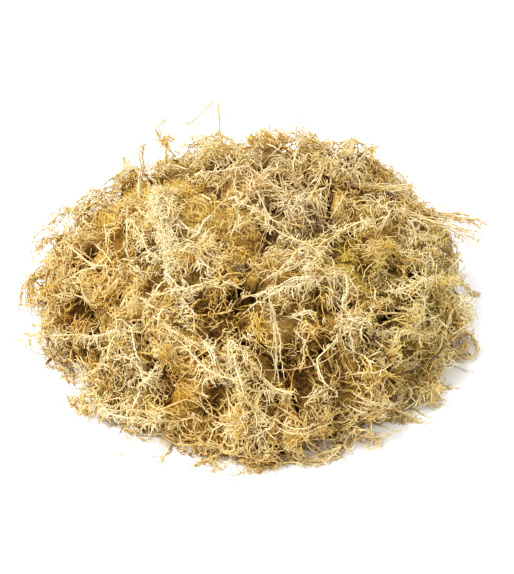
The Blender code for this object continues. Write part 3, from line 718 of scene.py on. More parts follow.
# Starting places spread over the outside by area, with a least share in gaps and in dips.
def startPlaces(count, inGaps, inDips, look=startLook):
    at = drape.placesOf(drape.sharp)
    met = drape.owner >= 0
    area = np.linalg.norm(np.cross(np.gradient(at, axis=0), np.gradient(at, axis=1)), axis=-1)
    area = np.minimum(area, np.percentile(area[met], look["steepest"]))
    weight = np.where(met & drape.inside, area, 0)
    weight *= np.where(at[..., 1] < look["behindFrom"], look["front"], look["behind"])
    onLump = np.clip(1 + lumps / look["lump"], inDips, look["most"])
    weight *= onLump * np.clip(1 - sunken / look["gap"], inGaps, 1)
    weight = weight.ravel() / weight.sum()
    picked = dice.choice(len(weight), count, p=weight)
    i, j = np.unravel_index(picked, drape.owner.shape)
    way = unitOf(drape.way[i, j] + dice.normal(0, look["stray"], (count, 3)))
    root = drape.heart + way * drape.laid[i, j][:, None]
    return root, drape.owner[i, j], drape.under(root)[1]


# A slowly turning field of directions, so that neighbours run together.
combLook = {
    "size": 0.034,
    "turn": 1.6,
    "waves": ((1.3, 0.7, 1.1, 1.0), (-0.5, 1.7, 4.2, 1.0), (1.9, 2.3, 2.9, 0.8)),    # x, y, phase, weight
}


def tangentAt(p, n, stray, look=combLook):
    x, y = p[:, 0] / look["size"], p[:, 1] / look["size"]
    angle = sum(weight * np.sin(a * x + b * y + phase) for a, b, phase, weight in look["waves"])
    angle = angle * look["turn"] + dice.normal(0, stray, len(p))
    east = unitOf(np.cross((0.0, 1.0, 0.02), n))
    north = np.cross(n, east)
    return east * np.cos(angle)[:, None] + north * np.sin(angle)[:, None]


# A mean and a spread, kept from 0 to 1.
def toneOf(look, count):
    return np.clip(dice.normal(*look, count), 0, 1)


strandLook = {
    "count": 268,
    "inGaps": 0.1,
    "inDips": 0.35,
    "steps": 16,
    "stray": 0.8,
    "length": (30 * mm, 86 * mm),
    "girth": (0.32 * mm, 0.62 * mm),
    "rise": (0.0 * mm, 4.5 * mm),
    "dips": (0.6, 2.0),       # how often a strand goes down and up again
    "buried": 1.2 * mm,       # how deep its ends go in
    "wander": 0.42,
    "keeps": 0.7,             # share of the last turn that is kept
    "jitter": 0.35 * mm,
    "tone": (0.70, 0.20),
    "golden": 0.6,
    "kinds": {"stem": 1.0},
    "branchEvery": 1.36 * mm,
    "branchFrom": (0.02, 1.0),
    "branchSide": (-25, 205),     # degrees round the strand, from one side over the top
    "branchLength": (2.5 * mm, 9.5 * mm),
    "branchGirth": (0.19 * mm, 0.32 * mm),
    "splay": (6, 48),         # degrees off the strand
    "bend": (1.0, 5.5),
    "wave": 0.26,
    "branchTone": (-0.05, 0.09),
    "branchGold": 0.1,
    "branchKinds": {"thread": 0.72, "knotted": 0.24, "leafy": 0.04},
}


# Long lines that run over the heap, dipping into it and out again.
def drapedLines(root, way, length, look):
    k, steps = len(root), look["steps"]
    lines = np.empty((k, steps, 3))
    drift = dice.normal(0, 1, k)
    phase = span((0, 2 * math.pi), k)
    turns = span(look["dips"], k)
    p, d = root.copy(), way.copy()
    low, high = look["rise"]
    keeps = look["keeps"]
    for i in range(steps):
        at, n = drape.under(p)
        f = i / (steps - 1)
        swing = 0.5 + 0.5 * np.sin(phase + turns * f * 2 * math.pi)
        risen = math.sin(math.pi * min(1, f * 1.06)) ** 0.5     # down again just before the end
        off = low + (high - low) * swing * risen - look["buried"] * (1 - risen)
        lines[:, i] = at + n * off[:, None]
        drift = keeps * drift + keeps * dice.normal(0, 1, k)
        d = turned(d, n, look["wander"] * drift)
        d = unitOf(d - n * (d * n).sum(-1, keepdims=True))
        p = lines[:, i] + d * (length / (steps - 1))[:, None]
    return offTable(lines, clear["strand"])


# The way that a branch sets off: splayed from the line, on one side of it.
def branchWay(along, side, up, around, splay):
    out = side * np.cos(around) + up * np.sin(around)
    splay = np.radians(span(splay, len(along)))[:, None]
    return along * np.cos(splay) + out * np.sin(splay)


def addStrands(look):
    k = look["count"]
    root, owner, n = startPlaces(k, look["inGaps"], look["inDips"])
    way = tangentAt(root, n, look["stray"])
    length = span(look["length"], k)
    lines, share = keptIn(drapedLines(root, way, length, look))
    lines[:, 1:-1] += dice.normal(0, look["jitter"], lines[:, 1:-1].shape)
    tone = toneOf(look["tone"], k)
    girth = span(look["girth"], k)
    hue = dice.random(k)
    spreadKinds(owner, lines, n, girth, tone, hue * look["golden"], look["kinds"])
    count = np.maximum((length * share / look["branchEvery"]).astype(int), 3)
    which = np.repeat(np.arange(k), count)
    m = len(which)
    place, along = onLines(lines, which, span(look["branchFrom"], m))
    up = drape.under(place)[1]
    side = unitOf(np.cross(up, along))
    around = np.radians(span(look["branchSide"], m))[:, None]
    way = branchWay(along, side, up, around, look["splay"])
    branches = curls(place, way, up, span(look["branchLength"], m), span(look["bend"], m), look["wave"])
    branches = keptIn(branches)[0]
    tone = np.clip(tone[which] + dice.normal(*look["branchTone"], m), 0, 1)
    hue = hue[which] * (1 - look["branchGold"]) + look["branchGold"] * dice.random(m)
    girth = span(look["branchGirth"], m)
    spreadKinds(owner[which], branches, up, girth, tone, hue, look["branchKinds"])
    return m


# Locks of branches that curl together, which make the heap lumpy and soft.
lockLook = {
    "count": 640,
    "inGaps": 0.1,
    "inDips": 0.35,
    "stray": 0.9,
    "lean": (30, 88),         # degrees from upright
    "axis": (3 * mm, 11 * mm),
    "branches": (9, 16),
    "sink": 1.0 * mm,
    "thick": 1.7 * mm,
    "fan": 0.42,
    "length": (5 * mm, 14 * mm),
    "girth": (0.19 * mm, 0.31 * mm),
    "bend": (1.8, 6.0),
    "bendShare": (0.8, 1.2),
    "wave": 0.24,
    "tone": (0.55, 0.26),
    "toneWithin": 0.06,
    "goldWithin": 0.15,
    "kinds": {"thread": 0.5, "knotted": 0.28, "curl": 0.18, "leafy": 0.04},
}


def addLocks(look):
    k = look["count"]
    root, owner, n = startPlaces(k, look["inGaps"], look["inDips"])
    flat = tangentAt(root, n, look["stray"])
    lean = np.radians(span(look["lean"], k))[:, None]
    axis = flat * np.sin(lean) + n * np.cos(lean)
    axisLong = span(look["axis"], k)
    tone = toneOf(look["tone"], k)
    which = np.repeat(np.arange(k), dice.integers(*look["branches"], k))
    m = len(which)
    along = axis[which] * (axisLong[which] * dice.random(m))[:, None]
    place = root[which] - n[which] * look["sink"] + along
    place += dice.normal(0, look["thick"], (m, 3))
    d = unitOf(axis[which] + unitOf(dice.normal(0, 1, (m, 3))) * look["fan"])
    bend = span(look["bend"], k)[which] * span(look["bendShare"], m)
    lines = keptIn(curls(place, d, n[which], span(look["length"], m), bend, look["wave"], lock=which))[0]
    tone = np.clip(tone[which] + dice.normal(0, look["toneWithin"], m), 0, 1)
    hue = dice.random(k)[which] * (1 - look["goldWithin"]) + look["goldWithin"] * dice.random(m)
    spreadKinds(owner[which], lines, n[which], span(look["girth"], m), tone, hue, look["kinds"])
    return m


# Fine threads, one at a time, all over the heap.
fuzzLook = {
    "count": 4400,
    "inGaps": 0.55,
    "inDips": 0.9,
    "stray": 1.4,
    "steps": 9,
    "length": (6 * mm, 18 * mm),
    "girth": (0.16 * mm, 0.27 * mm),
    "lift": (-12, 34),        # degrees off the surface
    "sink": 0.6 * mm,
    "bend": (2.0, 8.0),
    "wave": 0.28,
    "tone": (0.48, 0.15),
    "golden": (0, 0.7),
    "kinds": {"thread": 0.42, "curl": 0.3, "knotted": 0.28},
}


def addFuzz(look):
    k = look["count"]
    root, owner, n = startPlaces(k, look["inGaps"], look["inDips"])
    flat = tangentAt(root, n, look["stray"])
    lift = np.radians(span(look["lift"], k))[:, None]
    d = flat * np.cos(lift) + n * np.sin(lift)
    length, bend = span(look["length"], k), span(look["bend"], k)
    lines = keptIn(curls(root - n * look["sink"], d, n, length, bend, look["wave"], look["steps"]))[0]
    tone = toneOf(look["tone"], k)
    spreadKinds(owner, lines, n, span(look["girth"], k), tone, span(look["golden"], k), look["kinds"])


# Threads low down on the rim, all round.
skirtLook = {
    "count": 1150,
    "height": (0.5 * mm, 17 * mm),
    "rayFrom": 0.2,
    "rayLong": 0.16,
    "lift": 0.7,
    "outward": 0.45,
    "sink": 0.5 * mm,
    "length": (5 * mm, 14 * mm),
    "girth": (0.18 * mm, 0.30 * mm),
    "bend": (1.5, 6.5),
    "wave": 0.28,
    "tone": (0.45, 0.2),
    "golden": (0, 0.8),
    "kinds": {"thread": 0.7, "knotted": 0.3},
}


def addSkirt(look):
    root, up, owner = [], [], []
    while len(root) < look["count"]:
        angle, z = span((0, 2 * math.pi), 1)[0], span(look["height"], 1)[0]
        out = Vector((math.cos(angle), math.sin(angle), 0))
        start = out * look["rayFrom"] + Vector((0, 0, z))
        hit, normal, face, _ = drape.tree.ray_cast(start, -out, look["rayLong"])
        if hit is not None:
            root.append(hit[:])
            up.append(normal[:])
            owner.append(drape.owners[face])
    root, up, owner = np.array(root), np.array(up), np.array(owner)
    k = len(root)
    side = unitOf(np.cross(up, (0.0, 0.0, 1.0)) + 1e-6)
    lift = np.cross(side, up)
    turn = span((0, 2 * math.pi), k)[:, None]
    d = unitOf(side * np.cos(turn) + lift * np.sin(turn) * look["lift"] + up * look["outward"])
    length, bend = span(look["length"], k), span(look["bend"], k)
    lines = keptIn(curls(root - up * look["sink"], d, up, length, bend, look["wave"]))[0]
    tone = toneOf(look["tone"], k)
    spreadKinds(owner, lines, up, span(look["girth"], k), tone, span(look["golden"], k), look["kinds"])


addSkirt(skirtLook)
print("strands laid, with", addStrands(strandLook), "branches")
print("locks set, with", addLocks(lockLook), "branches")
addFuzz(fuzzLook)
print("loose threads laid:", fuzzLook["count"] + skirtLook["count"])


# Stems, sheaves, sprigs and twigs are laid along the middle lines of their own nodes.
middleLook = {
    "band": 4 * mm,
    "fewest": 4,
    "slack": 1.10,            # side branches are further round than this and drop out
    "spare": 3 * mm,
    "smoothing": 2,
    "steps": 16,
}
heapUp = np.array((0.0, -0.3, 0.95))
unreached = 1e9


# How far each point of a mesh is from a start, along its edges.
def farFrom(start, links, size, count, rounds=400):
    far = np.full(count, unreached)
    far[start] = 0
    for _ in range(rounds):
        before = far.copy()
        np.minimum.at(far, links[:, 1], far[links[:, 0]] + size)
        np.minimum.at(far, links[:, 0], far[links[:, 1]] + size)
        if np.array_equal(before, far):
            break
    return far


def resampled(line, steps):
    gone = np.concatenate([[0], np.cumsum(np.linalg.norm(np.diff(line, axis=0), axis=1))])
    at = np.linspace(0, gone[-1], steps)
    return np.stack([np.interp(at, gone, line[:, a]) for a in range(3)], -1)


# A node's middle line and its width: its points in bands by their distance from one end.
def middleLine(name, look=middleLook, band=None):
    co, tri = merged(name)
    links = np.sort(np.concatenate([tri[:, [0, 1]], tri[:, [1, 2]], tri[:, [2, 0]]]), axis=1)
    links = np.unique(links, axis=0)
    size = np.linalg.norm(co[links[:, 0]] - co[links[:, 1]], axis=1)

    def furthest(far):
        return int(np.argmax(np.where(far < unreached / 10, far, -1)))

    far = farFrom(furthest(farFrom(0, links, size, len(co))), links, size, len(co))
    start, end = int(np.argmin(far)), furthest(far)
    back = farFrom(end, links, size, len(co))
    whole = far[end]
    onWay = (far < unreached / 10) & (far + back < whole * look["slack"] + look["spare"])
    bands = max(look["fewest"], int(whole / (band or look["band"])))
    at = np.clip((far / (far + back) * bands).astype(int), 0, bands - 1)
    groups = [co[onWay & (at == i)] for i in range(bands)]
    groups = [group for group in groups if len(group)]
    line = np.array([co[start]] + [group.mean(0) for group in groups] + [co[end]])
    wide = [group.std(0).max() for group in groups]
    for _ in range(look["smoothing"]):
        line[1:-1] = (line[:-2] + 2 * line[1:-1] + line[2:]) / 4
    return resampled(line, look["steps"]), float(np.median([wide[0]] + wide + [wide[-1]]))


# Side branches all along lines, thinning out towards their tips.
branchLook = {
    "from": 0.02,
    "up": (0.0, -0.35, 0.94),
    "stray": 0.2,
    "wave": 0.26,
    "taper": (1.15, 0.5, 0.4),    # length at the root, what it loses to the tip, and the least
    "toneStray": 0.12,
    "golden": (0.7, 0.2),         # for the whole line, and for each branch
    "kinds": {"thread": 0.66, "knotted": 0.30, "leafy": 0.04},
}


def branchesOn(name, lines, own, tone, look=branchLook):
    k = len(lines)
    long = np.linalg.norm(np.diff(lines, axis=1), axis=-1).sum(1)
    count = np.maximum((long / own["every"]).astype(int), 2)
    which = np.repeat(np.arange(k), count)
    m = len(which)
    at = span((look["from"], 1.0), m)
    place, along = onLines(lines, which, at)
    up = np.tile(look["up"], (m, 1)) + dice.normal(0, look["stray"], (m, 3))
    side = unitOf(np.cross(up, along))
    up = np.cross(along, side)
    around = span((0, 2 * math.pi), m)[:, None]
    way = branchWay(along, side, up, around, own["splay"])
    first, loss, least = look["taper"]
    length = span(own["length"], m) * np.clip(first - loss * at, least, 1)
    branches = curls(place, way, up, length, span(own["bend"], m), look["wave"])
    if name != "wing_sheaf":
        branches = keptIn(branches)[0]
    girth = span(own["girth"], m)
    tones = np.clip(tone + dice.normal(0, look["toneStray"], m), 0, 1)
    kinds = list(sortedKinds(m, look["kinds"]))
    whole, each = look["golden"]
    hue = np.repeat(dice.random(k), count) * whole + each * dice.random(m)
    for label, mine in kinds:
        batches[name].addShoots(label, branches[mine], up[mine], girth[mine], tones[mine], hue[mine])


stemLook = {
    "stemGirth": 0.4 * mm,
    "wobble": 0.8 * mm,
    "every": 0.62 * mm,
    "length": (5.0 * mm, 12 * mm),
    "splay": (4, 28),
    "bend": (1.5, 5.5),
    "girth": (0.20 * mm, 0.32 * mm),
    "tone": 0.62,
}


def addStem(name, look):
    line, _ = middleLine(name)
    line[1:-1] += dice.normal(0, look["wobble"], line[1:-1].shape)
    batches[name].addShoots("stem", line[None], heapUp, look["stemGirth"], look["tone"], 0.0)
    branchesOn(name, line[None], look, look["tone"])


sheafLook = {
    "band": 8 * mm,
    "strands": 22,
    "strandGirth": (0.22 * mm, 0.38 * mm),
    "strandTone": (0.5, 0.2),
    "width": 1.3,
    "narrowest": 2 * mm,
    "upward": 0.6,
    "drift": 0.16,
    "driftUp": 0.4,
    "height": 0.7,
    "starts": (0, 0.35),
    "runs": (0.45, 0.9),
    "frizz": 0.65 * mm,
    "every": 2.0 * mm,
    "length": (4.5 * mm, 12 * mm),
    "splay": (15, 85),
    "bend": (2.0, 7.0),
    "girth": (0.19 * mm, 0.30 * mm),
    "tone": 0.62,
}
# The pale one is a ridge of fluff more than a combed bundle.
ridgeLook = dict(
    sheafLook, strands=9, frizz=0.85 * mm, every=0.85 * mm, length=(5 * mm, 13 * mm),
    bend=(2.5, 8.0), width=1.15, tone=0.55,
)


def addSheaf(name, look):
    line, wide = middleLine(name, band=look["band"])
    steps = len(line)
    spread = max(wide, look["narrowest"]) * look["width"]
    k = look["strands"]
    way = unitOf(np.gradient(line, axis=0))
    side = unitOf(np.cross(way, heapUp))
    up = np.cross(side, way)
    offSide = dice.normal(0, 1, k)
    offUp = np.abs(dice.normal(0, look["upward"], k))
    drift = np.cumsum(dice.normal(0, look["drift"], (k, steps, 2)), axis=1)
    lines = (
        line[None]
        + side[None] * ((offSide[:, None] + drift[..., 0]) * spread)[..., None]
        + up[None] * ((offUp[:, None] + look["driftUp"] * drift[..., 1]) * spread * look["height"])[..., None]
    )
    start = span(look["starts"], k)
    end = np.minimum(start + span(look["runs"], k), 1)
    at = start[:, None] + (end - start)[:, None] * np.linspace(0, 1, steps)[None]
    lines = onLines(lines, np.arange(k)[:, None], at)[0]
    lines += dice.normal(0, look["frizz"], lines.shape)
    offTable(lines, clear["strand"])
    tone = toneOf(look["strandTone"], k)
    batches[name].addShoots("stem", lines, heapUp, span(look["strandGirth"], k), tone, 0.0)
    branchesOn(name, lines, look, look["tone"])


headLook = {
    "rays": 90,
    "upward": 0.35,
    "length": (0.7, 1.35),    # in the head's own radius
    "bend": (0.8, 3.6),
    "wave": 0.2,
    "girth": (0.20 * mm, 0.34 * mm),
    "tone": 0.6,
    "kinds": {"knotted": 0.7, "leafy": 0.3},
}


def addHead(name, look):
    co, _ = merged(name)
    reach = float(np.median(co.max(0) - co.min(0))) / 2
    k = look["rays"]
    d = unitOf(dice.normal(0, 1, (k, 3)) + (0, 0, look["upward"]))
    least, most = look["length"]
    length = span((least * reach, most * reach), k)
    up = np.tile((0.0, 0.0, 1.0), (k, 1))
    lines = curls(np.tile(co.mean(0), (k, 1)), d, up, length, span(look["bend"], k), look["wave"])
    for label, mine in sortedKinds(k, look["kinds"]):
        girth = span(look["girth"], mine.sum())
        batches[name].addShoots(label, lines[mine], d[mine], girth, look["tone"], 0.0)


twigLook = {
    "girths": {"dark_twig": 0.55 * mm, "rush_stalk": 0.32 * mm, "broken_stalk": 0.7 * mm},
    "tone": 0.5,
}


def addTwig(name, look):
    line, _ = middleLine(name)
    batches[name].addShoots("stem", line[None], heapUp, look["girths"][name], look["tone"], 0.0)


laid = [name for name in sorted(nodes) if name not in wadNames]
for name in laid:
    if "sheaf" in name:
        addSheaf(name, ridgeLook if name == "pale_sheaf" else sheafLook)
    elif name.startswith("head"):
        addHead(name, headLook)
    elif name in twigLook["girths"]:
        addTwig(name, twigLook)
    else:
        addStem(name, stemLook)
print("stems, sheaves, heads and twigs laid:", len(laid))


def wisp(piece, many, stray, girth, every, *at, flat=None, back=0.0):
    return {"piece": piece, "many": many, "stray": stray, "girth": girth, "every": every, "at": at,
            "flat": flat, "back": back}


# Wisps that stand out from the heap: the piece, how many run together and how far they stray, their
# girth and the spacing of their branches in mm, then places in the picture from the root out.
wisps = [
    wisp("arched_stem", 1, 0.0, 0.62, 1.4, (223, 146), (219, 130), (218, 112), (217, 99), (211, 102),
         (203, 112), (190, 124), (178, 125), back=12),
    wisp("arched_stem", 1, 0.0, 0.44, 2.4, (240, 152), (228, 138), (214, 133), (206, 138)),
    wisp("shoulder_wad_03", 2, 0.3, 0.5, 1.5, (178, 160), (160, 138), (155, 128), (162, 120), (168, 114)),
    wisp("rim_wad_04", 3, 0.6, 0.4, 1.8, (143, 172), (141, 152), (144, 138)),
    wisp("rim_wad_04", 3, 1.0, 0.36, 1.8, (138, 180), (128, 172), (121, 160)),
    wisp("rim_wad_04", 2, 0.8, 0.3, 2.4, (194, 152), (196, 140), (187, 132)),
    wisp("rim_wad_05", 6, 2.0, 0.34, 2.0, (88, 214), (66, 208), (52, 222), (40, 228)),
    wisp("rim_wad_05", 9, 2.6, 0.34, 1.8, (64, 236), (46, 240), (34, 252)),
    wisp("rim_wad_06", 9, 2.6, 0.34, 1.8, (50, 272), (34, 278), (26, 296), (25, 314)),
    wisp("tan_sheaf", 9, 1.1, 0.32, 3.2, (350, 184), (378, 187), (398, 188), (416, 186)),
    wisp("tan_sheaf", 6, 2.0, 0.3, 2.6, (345, 172), (370, 160), (390, 168), (392, 178)),
    wisp("wing_sheaf", 12, 2.0, 0.34, 2.8, (392, 204), (420, 214), (452, 220), (474, 222), (484, 230)),
    wisp("wing_sheaf", 10, 2.2, 0.34, 2.8, (400, 210), (430, 220), (458, 228), (472, 236), (482, 240)),
    wisp("rim_wad_02", 5, 1.6, 0.3, 2.6, (402, 200), (414, 206), (436, 212), (452, 216)),
    wisp("head_03", 4, 1.6, 0.3, 1.6, (318, 152), (316, 140), (310, 134)),
    wisp("rim_wad_01", 5, 2.0, 0.32, 2.0, (450, 275), (464, 284), (473, 296), (476, 312)),
    wisp("rim_wad_10", 7, 2.4, 0.3, 1.8, (412, 392), (426, 402), (438, 406)),
    wisp("rim_wad_09", 7, 2.4, 0.3, 1.8, (388, 404), (402, 416), (416, 426)),
    wisp("loose_sprig_04", 4, 0.9, 0.34, 2.0, (450, 320), (463, 331), (474, 341), (477, 351), (471, 359),
         (461, 357), (457, 350), flat=3.0),
    wisp("loose_sprig_01", 5, 1.5, 0.32, 1.8, (246, 441), (226, 452), (206, 461), (194, 466), flat=2.5),
    wisp("loose_sprig_02", 4, 1.2, 0.34, 1.8, (262, 446), (286, 442), (308, 434), (326, 426), flat=2.5),
    wisp("loose_sprig_02", 4, 1.4, 0.3, 1.8, (268, 452), (298, 461), (326, 461), (333, 450), flat=2.0),
    wisp("loose_sprig_03", 3, 0.9, 0.3, 2.0, (352, 440), (368, 434), (380, 440), (377, 449), (364, 449),
         flat=2.5),
]
wispLook = {
    "steps": 16,
    "bends": 3,               # places from the root on over which a wisp leans back
    "jitter": 0.25 * mm,
    "tone": (0.1, 0.6),
    "golden": (0, 0.7),
    "branchTone": 0.35,
}
# Their branches, and those of the strands below, are finer than a stem's.
wispBranches = {
    "length": (2 * mm, 7 * mm), "splay": (5, 45), "bend": (1.0, 5.0), "girth": (0.20 * mm, 0.32 * mm),
}


def strand(many, stray, girth, *at):
    return {"many": many, "stray": stray, "girth": girth, "at": at}


# Pale strands that can be followed over the heap: how many run together and how far they stray,
# their girth in mm, then places in the picture.
overlaid = [
    strand(2, 0.5, 0.36, (141, 216), (150, 226), (160, 232), (170, 242)),
    strand(6, 2.2, 0.32, (171, 238), (169, 254), (172, 270), (176, 286), (182, 298)),
    strand(3, 0.8, 0.34, (185, 240), (197, 236), (208, 228), (216, 222)),
    strand(2, 0.5, 0.36, (176, 272), (184, 288), (191, 299)),
    strand(2, 0.4, 0.42, (180, 300), (200, 293), (218, 286), (234, 282)),
    strand(3, 0.8, 0.34, (80, 244), (86, 258), (97, 267), (112, 269)),
    strand(2, 0.5, 0.34, (183, 300), (190, 316), (194, 332)),
    strand(2, 0.8, 0.32, (140, 298), (150, 306), (162, 311), (175, 312)),
    strand(3, 0.8, 0.36, (158, 318), (172, 328), (190, 342), (204, 352)),
    strand(2, 0.5, 0.32, (230, 198), (236, 212), (238, 226), (241, 240)),
    strand(2, 0.7, 0.30, (205, 240), (211, 253), (222, 263), (237, 269), (246, 281)),
    strand(1, 0.2, 0.46, (343, 322), (329, 342), (322, 357), (322, 373), (327, 387), (338, 393)),
    strand(4, 1.0, 0.36, (203, 342), (211, 357), (218, 371), (230, 386)),
    strand(6, 1.8, 0.34, (233, 343), (238, 360), (242, 382)),
    strand(3, 0.9, 0.36, (244, 348), (257, 369), (272, 386), (293, 394)),
    strand(3, 1.4, 0.30, (266, 298), (272, 324), (276, 350), (281, 384)),
    strand(7, 2.4, 0.32, (342, 280), (350, 300), (352, 326), (346, 352)),
    strand(2, 0.5, 0.40, (337, 227), (322, 243), (310, 255), (296, 270), (270, 277)),
    strand(2, 0.5, 0.38, (324, 290), (312, 286), (286, 285), (268, 292)),
    strand(1, 0.3, 0.40, (358, 376), (371, 370), (382, 361)),
    strand(3, 0.9, 0.32, (288, 318), (302, 316), (318, 318)),
    strand(2, 0.7, 0.32, (356, 393), (371, 401), (386, 404), (400, 397)),
    strand(3, 1.4, 0.32, (248, 402), (270, 420), (292, 430), (312, 424), (334, 408)),
    strand(5, 1.8, 0.32, (294, 214), (298, 228), (301, 244)),
    strand(2, 1.0, 0.28, (296, 330), (308, 342), (306, 358), (296, 372)),
    strand(7, 2.4, 0.28, (140, 362), (150, 372), (160, 384), (170, 392)),
    strand(6, 2.4, 0.28, (138, 388), (148, 380), (156, 372), (162, 362)),
]
overlaidLook = {
    "steps": 16,
    "lift": (0.5 * mm, 3.5 * mm),    # at the ends and in the middle
    "jitter": 0.22 * mm,
    "tone": (0.6, 1.0),
    "golden": (0, 0.3),
    "every": 2.0 * mm,
    "branchTone": 0.72,
}

# Small bushy tips on top: piece, reach in mm and place in the picture.
tips = [
    ("head_02", 5.5, 166, 142), ("head_01", 6.0, 252, 140), ("head_01", 6.5, 266, 137),
    ("head_01", 6.0, 282, 138), ("head_03", 5.0, 312, 140), ("rim_wad_04", 6.0, 122, 182),
]
tipLook = {
    "rays": 70,
    "rootDown": 8,            # how far down the picture its stalk starts
    "spread": 0.3,
    "upward": 0.3,
    "length": (0.5, 1.1),     # in reaches
    "bend": (1.0, 4.0),
    "wave": 0.2,
    "girth": (0.2 * mm, 0.32 * mm),
    "tone": (0.3, 0.8),
    "golden": (0.3, 0.9),
    "stalks": 3,
    "stalkSteps": 7,
    "stalkJitter": 0.3 * mm,
    "stalkUp": (0.0, -1.0, 0.1),
    "stalkGirth": 0.4 * mm,
    "stalkTone": 0.5,
}


# The first place down the picture that lies on the heap.
def rootOn(px, py, lowest=440, step=4):
    while py < lowest:
        eye, way = rayThrough(px, py)
        hit = drape.tree.ray_cast(Vector(eye), Vector(way))[0]
        if hit is not None and hit.z > 2 * mm:
            return np.array(hit)
        py += step
    return placeOn(px, py)


# Where a place in the picture lies in the upright plane at y.
def onUpright(px, py, y):
    eye, way = rayThrough(px, py)
    return eye + way * (y - eye[1]) / way[1]


# The root lies on the heap, and the other places stand above it in its upright plane, or all
# of them lie flat just over the table.
def onPlane(look):
    if look["flat"]:
        return np.array([onLevel(px, py, look["flat"] * mm) for px, py in look["at"]])
    root = rootOn(*look["at"][0])
    back = look["back"] * mm
    outer = [
        onUpright(px, py, root[1] + back * min(1, (i + 1) / wispLook["bends"]))
        for i, (px, py) in enumerate(look["at"][1:])
    ]
    return np.array([root] + outer)


# Copies of a line that stray from it as they go.
def strayed(line, many, stray, jitter, wobble=0.3):
    shape = (many, *line.shape)
    drift = np.cumsum(dice.normal(0, wobble, shape), axis=1) * stray * mm
    return line[None] + drift + dice.normal(0, jitter, shape)


def addWisp(own, look):
    line = resampled(onPlane(own), look["steps"])
    k = own["many"]
    lines = offTable(strayed(line, k, own["stray"], look["jitter"]), clear["strand"])
    tone, hue = span(look["tone"], k), span(look["golden"], k)
    batches[own["piece"]].addShoots("stem", lines, heapUp, own["girth"] * mm, tone, hue)
    branchesOn(own["piece"], lines, dict(wispBranches, every=own["every"] * mm), look["branchTone"])


def addOverlaid(own, look):
    line = resampled(np.array([rootOn(px, py) for px, py in own["at"]]), look["steps"])
    at, n = drape.under(line, drape.outer)
    low, high = look["lift"]
    arch = np.sin(np.linspace(0, math.pi, look["steps"])) ** 0.5
    line = at + n * (low + (high - low) * arch)[:, None]
    k = own["many"]
    lines = strayed(line, k, own["stray"], look["jitter"])
    middle = look["steps"] // 2
    piece = wadNames[drape.ownerAt(line[middle:middle + 1])[0]]
    tone, hue = span(look["tone"], k), span(look["golden"], k)
    batches[piece].addShoots("stem", lines, n[:1], own["girth"] * mm, tone, hue)
    branchesOn(piece, lines, dict(wispBranches, every=look["every"]), look["branchTone"])


def addTip(piece, reach, px, py, look):
    k = look["rays"]
    root = rootOn(px, py + look["rootDown"])
    centre = onUpright(px, py, root[1])
    reach = reach * mm
    place = centre + dice.normal(0, look["spread"], (k, 3)) * reach
    d = unitOf(dice.normal(0, 1, (k, 3)) + (0, 0, look["upward"]))
    least, most = look["length"]
    length, bend = span((least * reach, most * reach), k), span(look["bend"], k)
    lines = curls(place, d, d[:, [1, 2, 0]], length, bend, look["wave"])
    stalk = resampled(np.array([root, centre]), look["stalkSteps"])
    stalks = stalk[None] + dice.normal(0, look["stalkJitter"], (look["stalks"], *stalk.shape))
    girth, tone, hue = span(look["girth"], k), span(look["tone"], k), span(look["golden"], k)
    half = look["stalkTone"]
    batches[piece].addShoots("knotted", lines, d, girth, tone, hue)
    batches[piece].addShoots("curl", stalks, look["stalkUp"], look["stalkGirth"], half, half)


for own in wisps:
    addWisp(own, wispLook)
for own in overlaid:
    addOverlaid(own, overlaidLook)
for piece, reach, px, py in tips:
    addTip(piece, reach, px, py, tipLook)
print("wisps, strands and tips drawn:", len(wisps) + len(overlaid) + len(tips))


# Finishes. The first colour is that of the tips, the second of the roots, then the painted shade in the
# hollows, and the golden flecks, which also warm the painted half-shade.
mossColours = {
    # The heart's colours are dark brown, and with its full painted shade the gaps down to it read dark.
    "moss_heart": ((0.26, 0.15, 0.04), (0.15, 0.075, 0.014), (0.045, 0.021, 0.0035), (0.25, 0.17, 0.04)),
    "moss_pale": ((0.87, 0.755, 0.475), (0.72, 0.52, 0.20), (0.11, 0.055, 0.005), (0.72, 0.48, 0.11)),
    "moss_straw": ((0.865, 0.75, 0.49), (0.64, 0.42, 0.12), (0.095, 0.045, 0.004), (0.67, 0.41, 0.065)),
    "moss_amber": ((0.855, 0.71, 0.40), (0.60, 0.35, 0.075), (0.09, 0.041, 0.003), (0.63, 0.355, 0.048)),
    "moss_tan": ((0.86, 0.725, 0.475), (0.62, 0.415, 0.15), (0.09, 0.046, 0.006), (0.60, 0.38, 0.10)),
    "moss_olive": ((0.86, 0.75, 0.48), (0.62, 0.425, 0.115), (0.088, 0.045, 0.003), (0.62, 0.425, 0.07)),
    "moss_bark": ((0.20, 0.14, 0.09), (0.10, 0.065, 0.04), (0.04, 0.025, 0.015), (0.26, 0.20, 0.14)),
    "moss_stalk": ((0.56, 0.41, 0.23), (0.38, 0.24, 0.11), (0.16, 0.09, 0.05), (0.30, 0.17, 0.10)),
}
mossFinish = {"bump": 0.25, "bumpDepth": 0.3 * mm, "specular": 0.25}
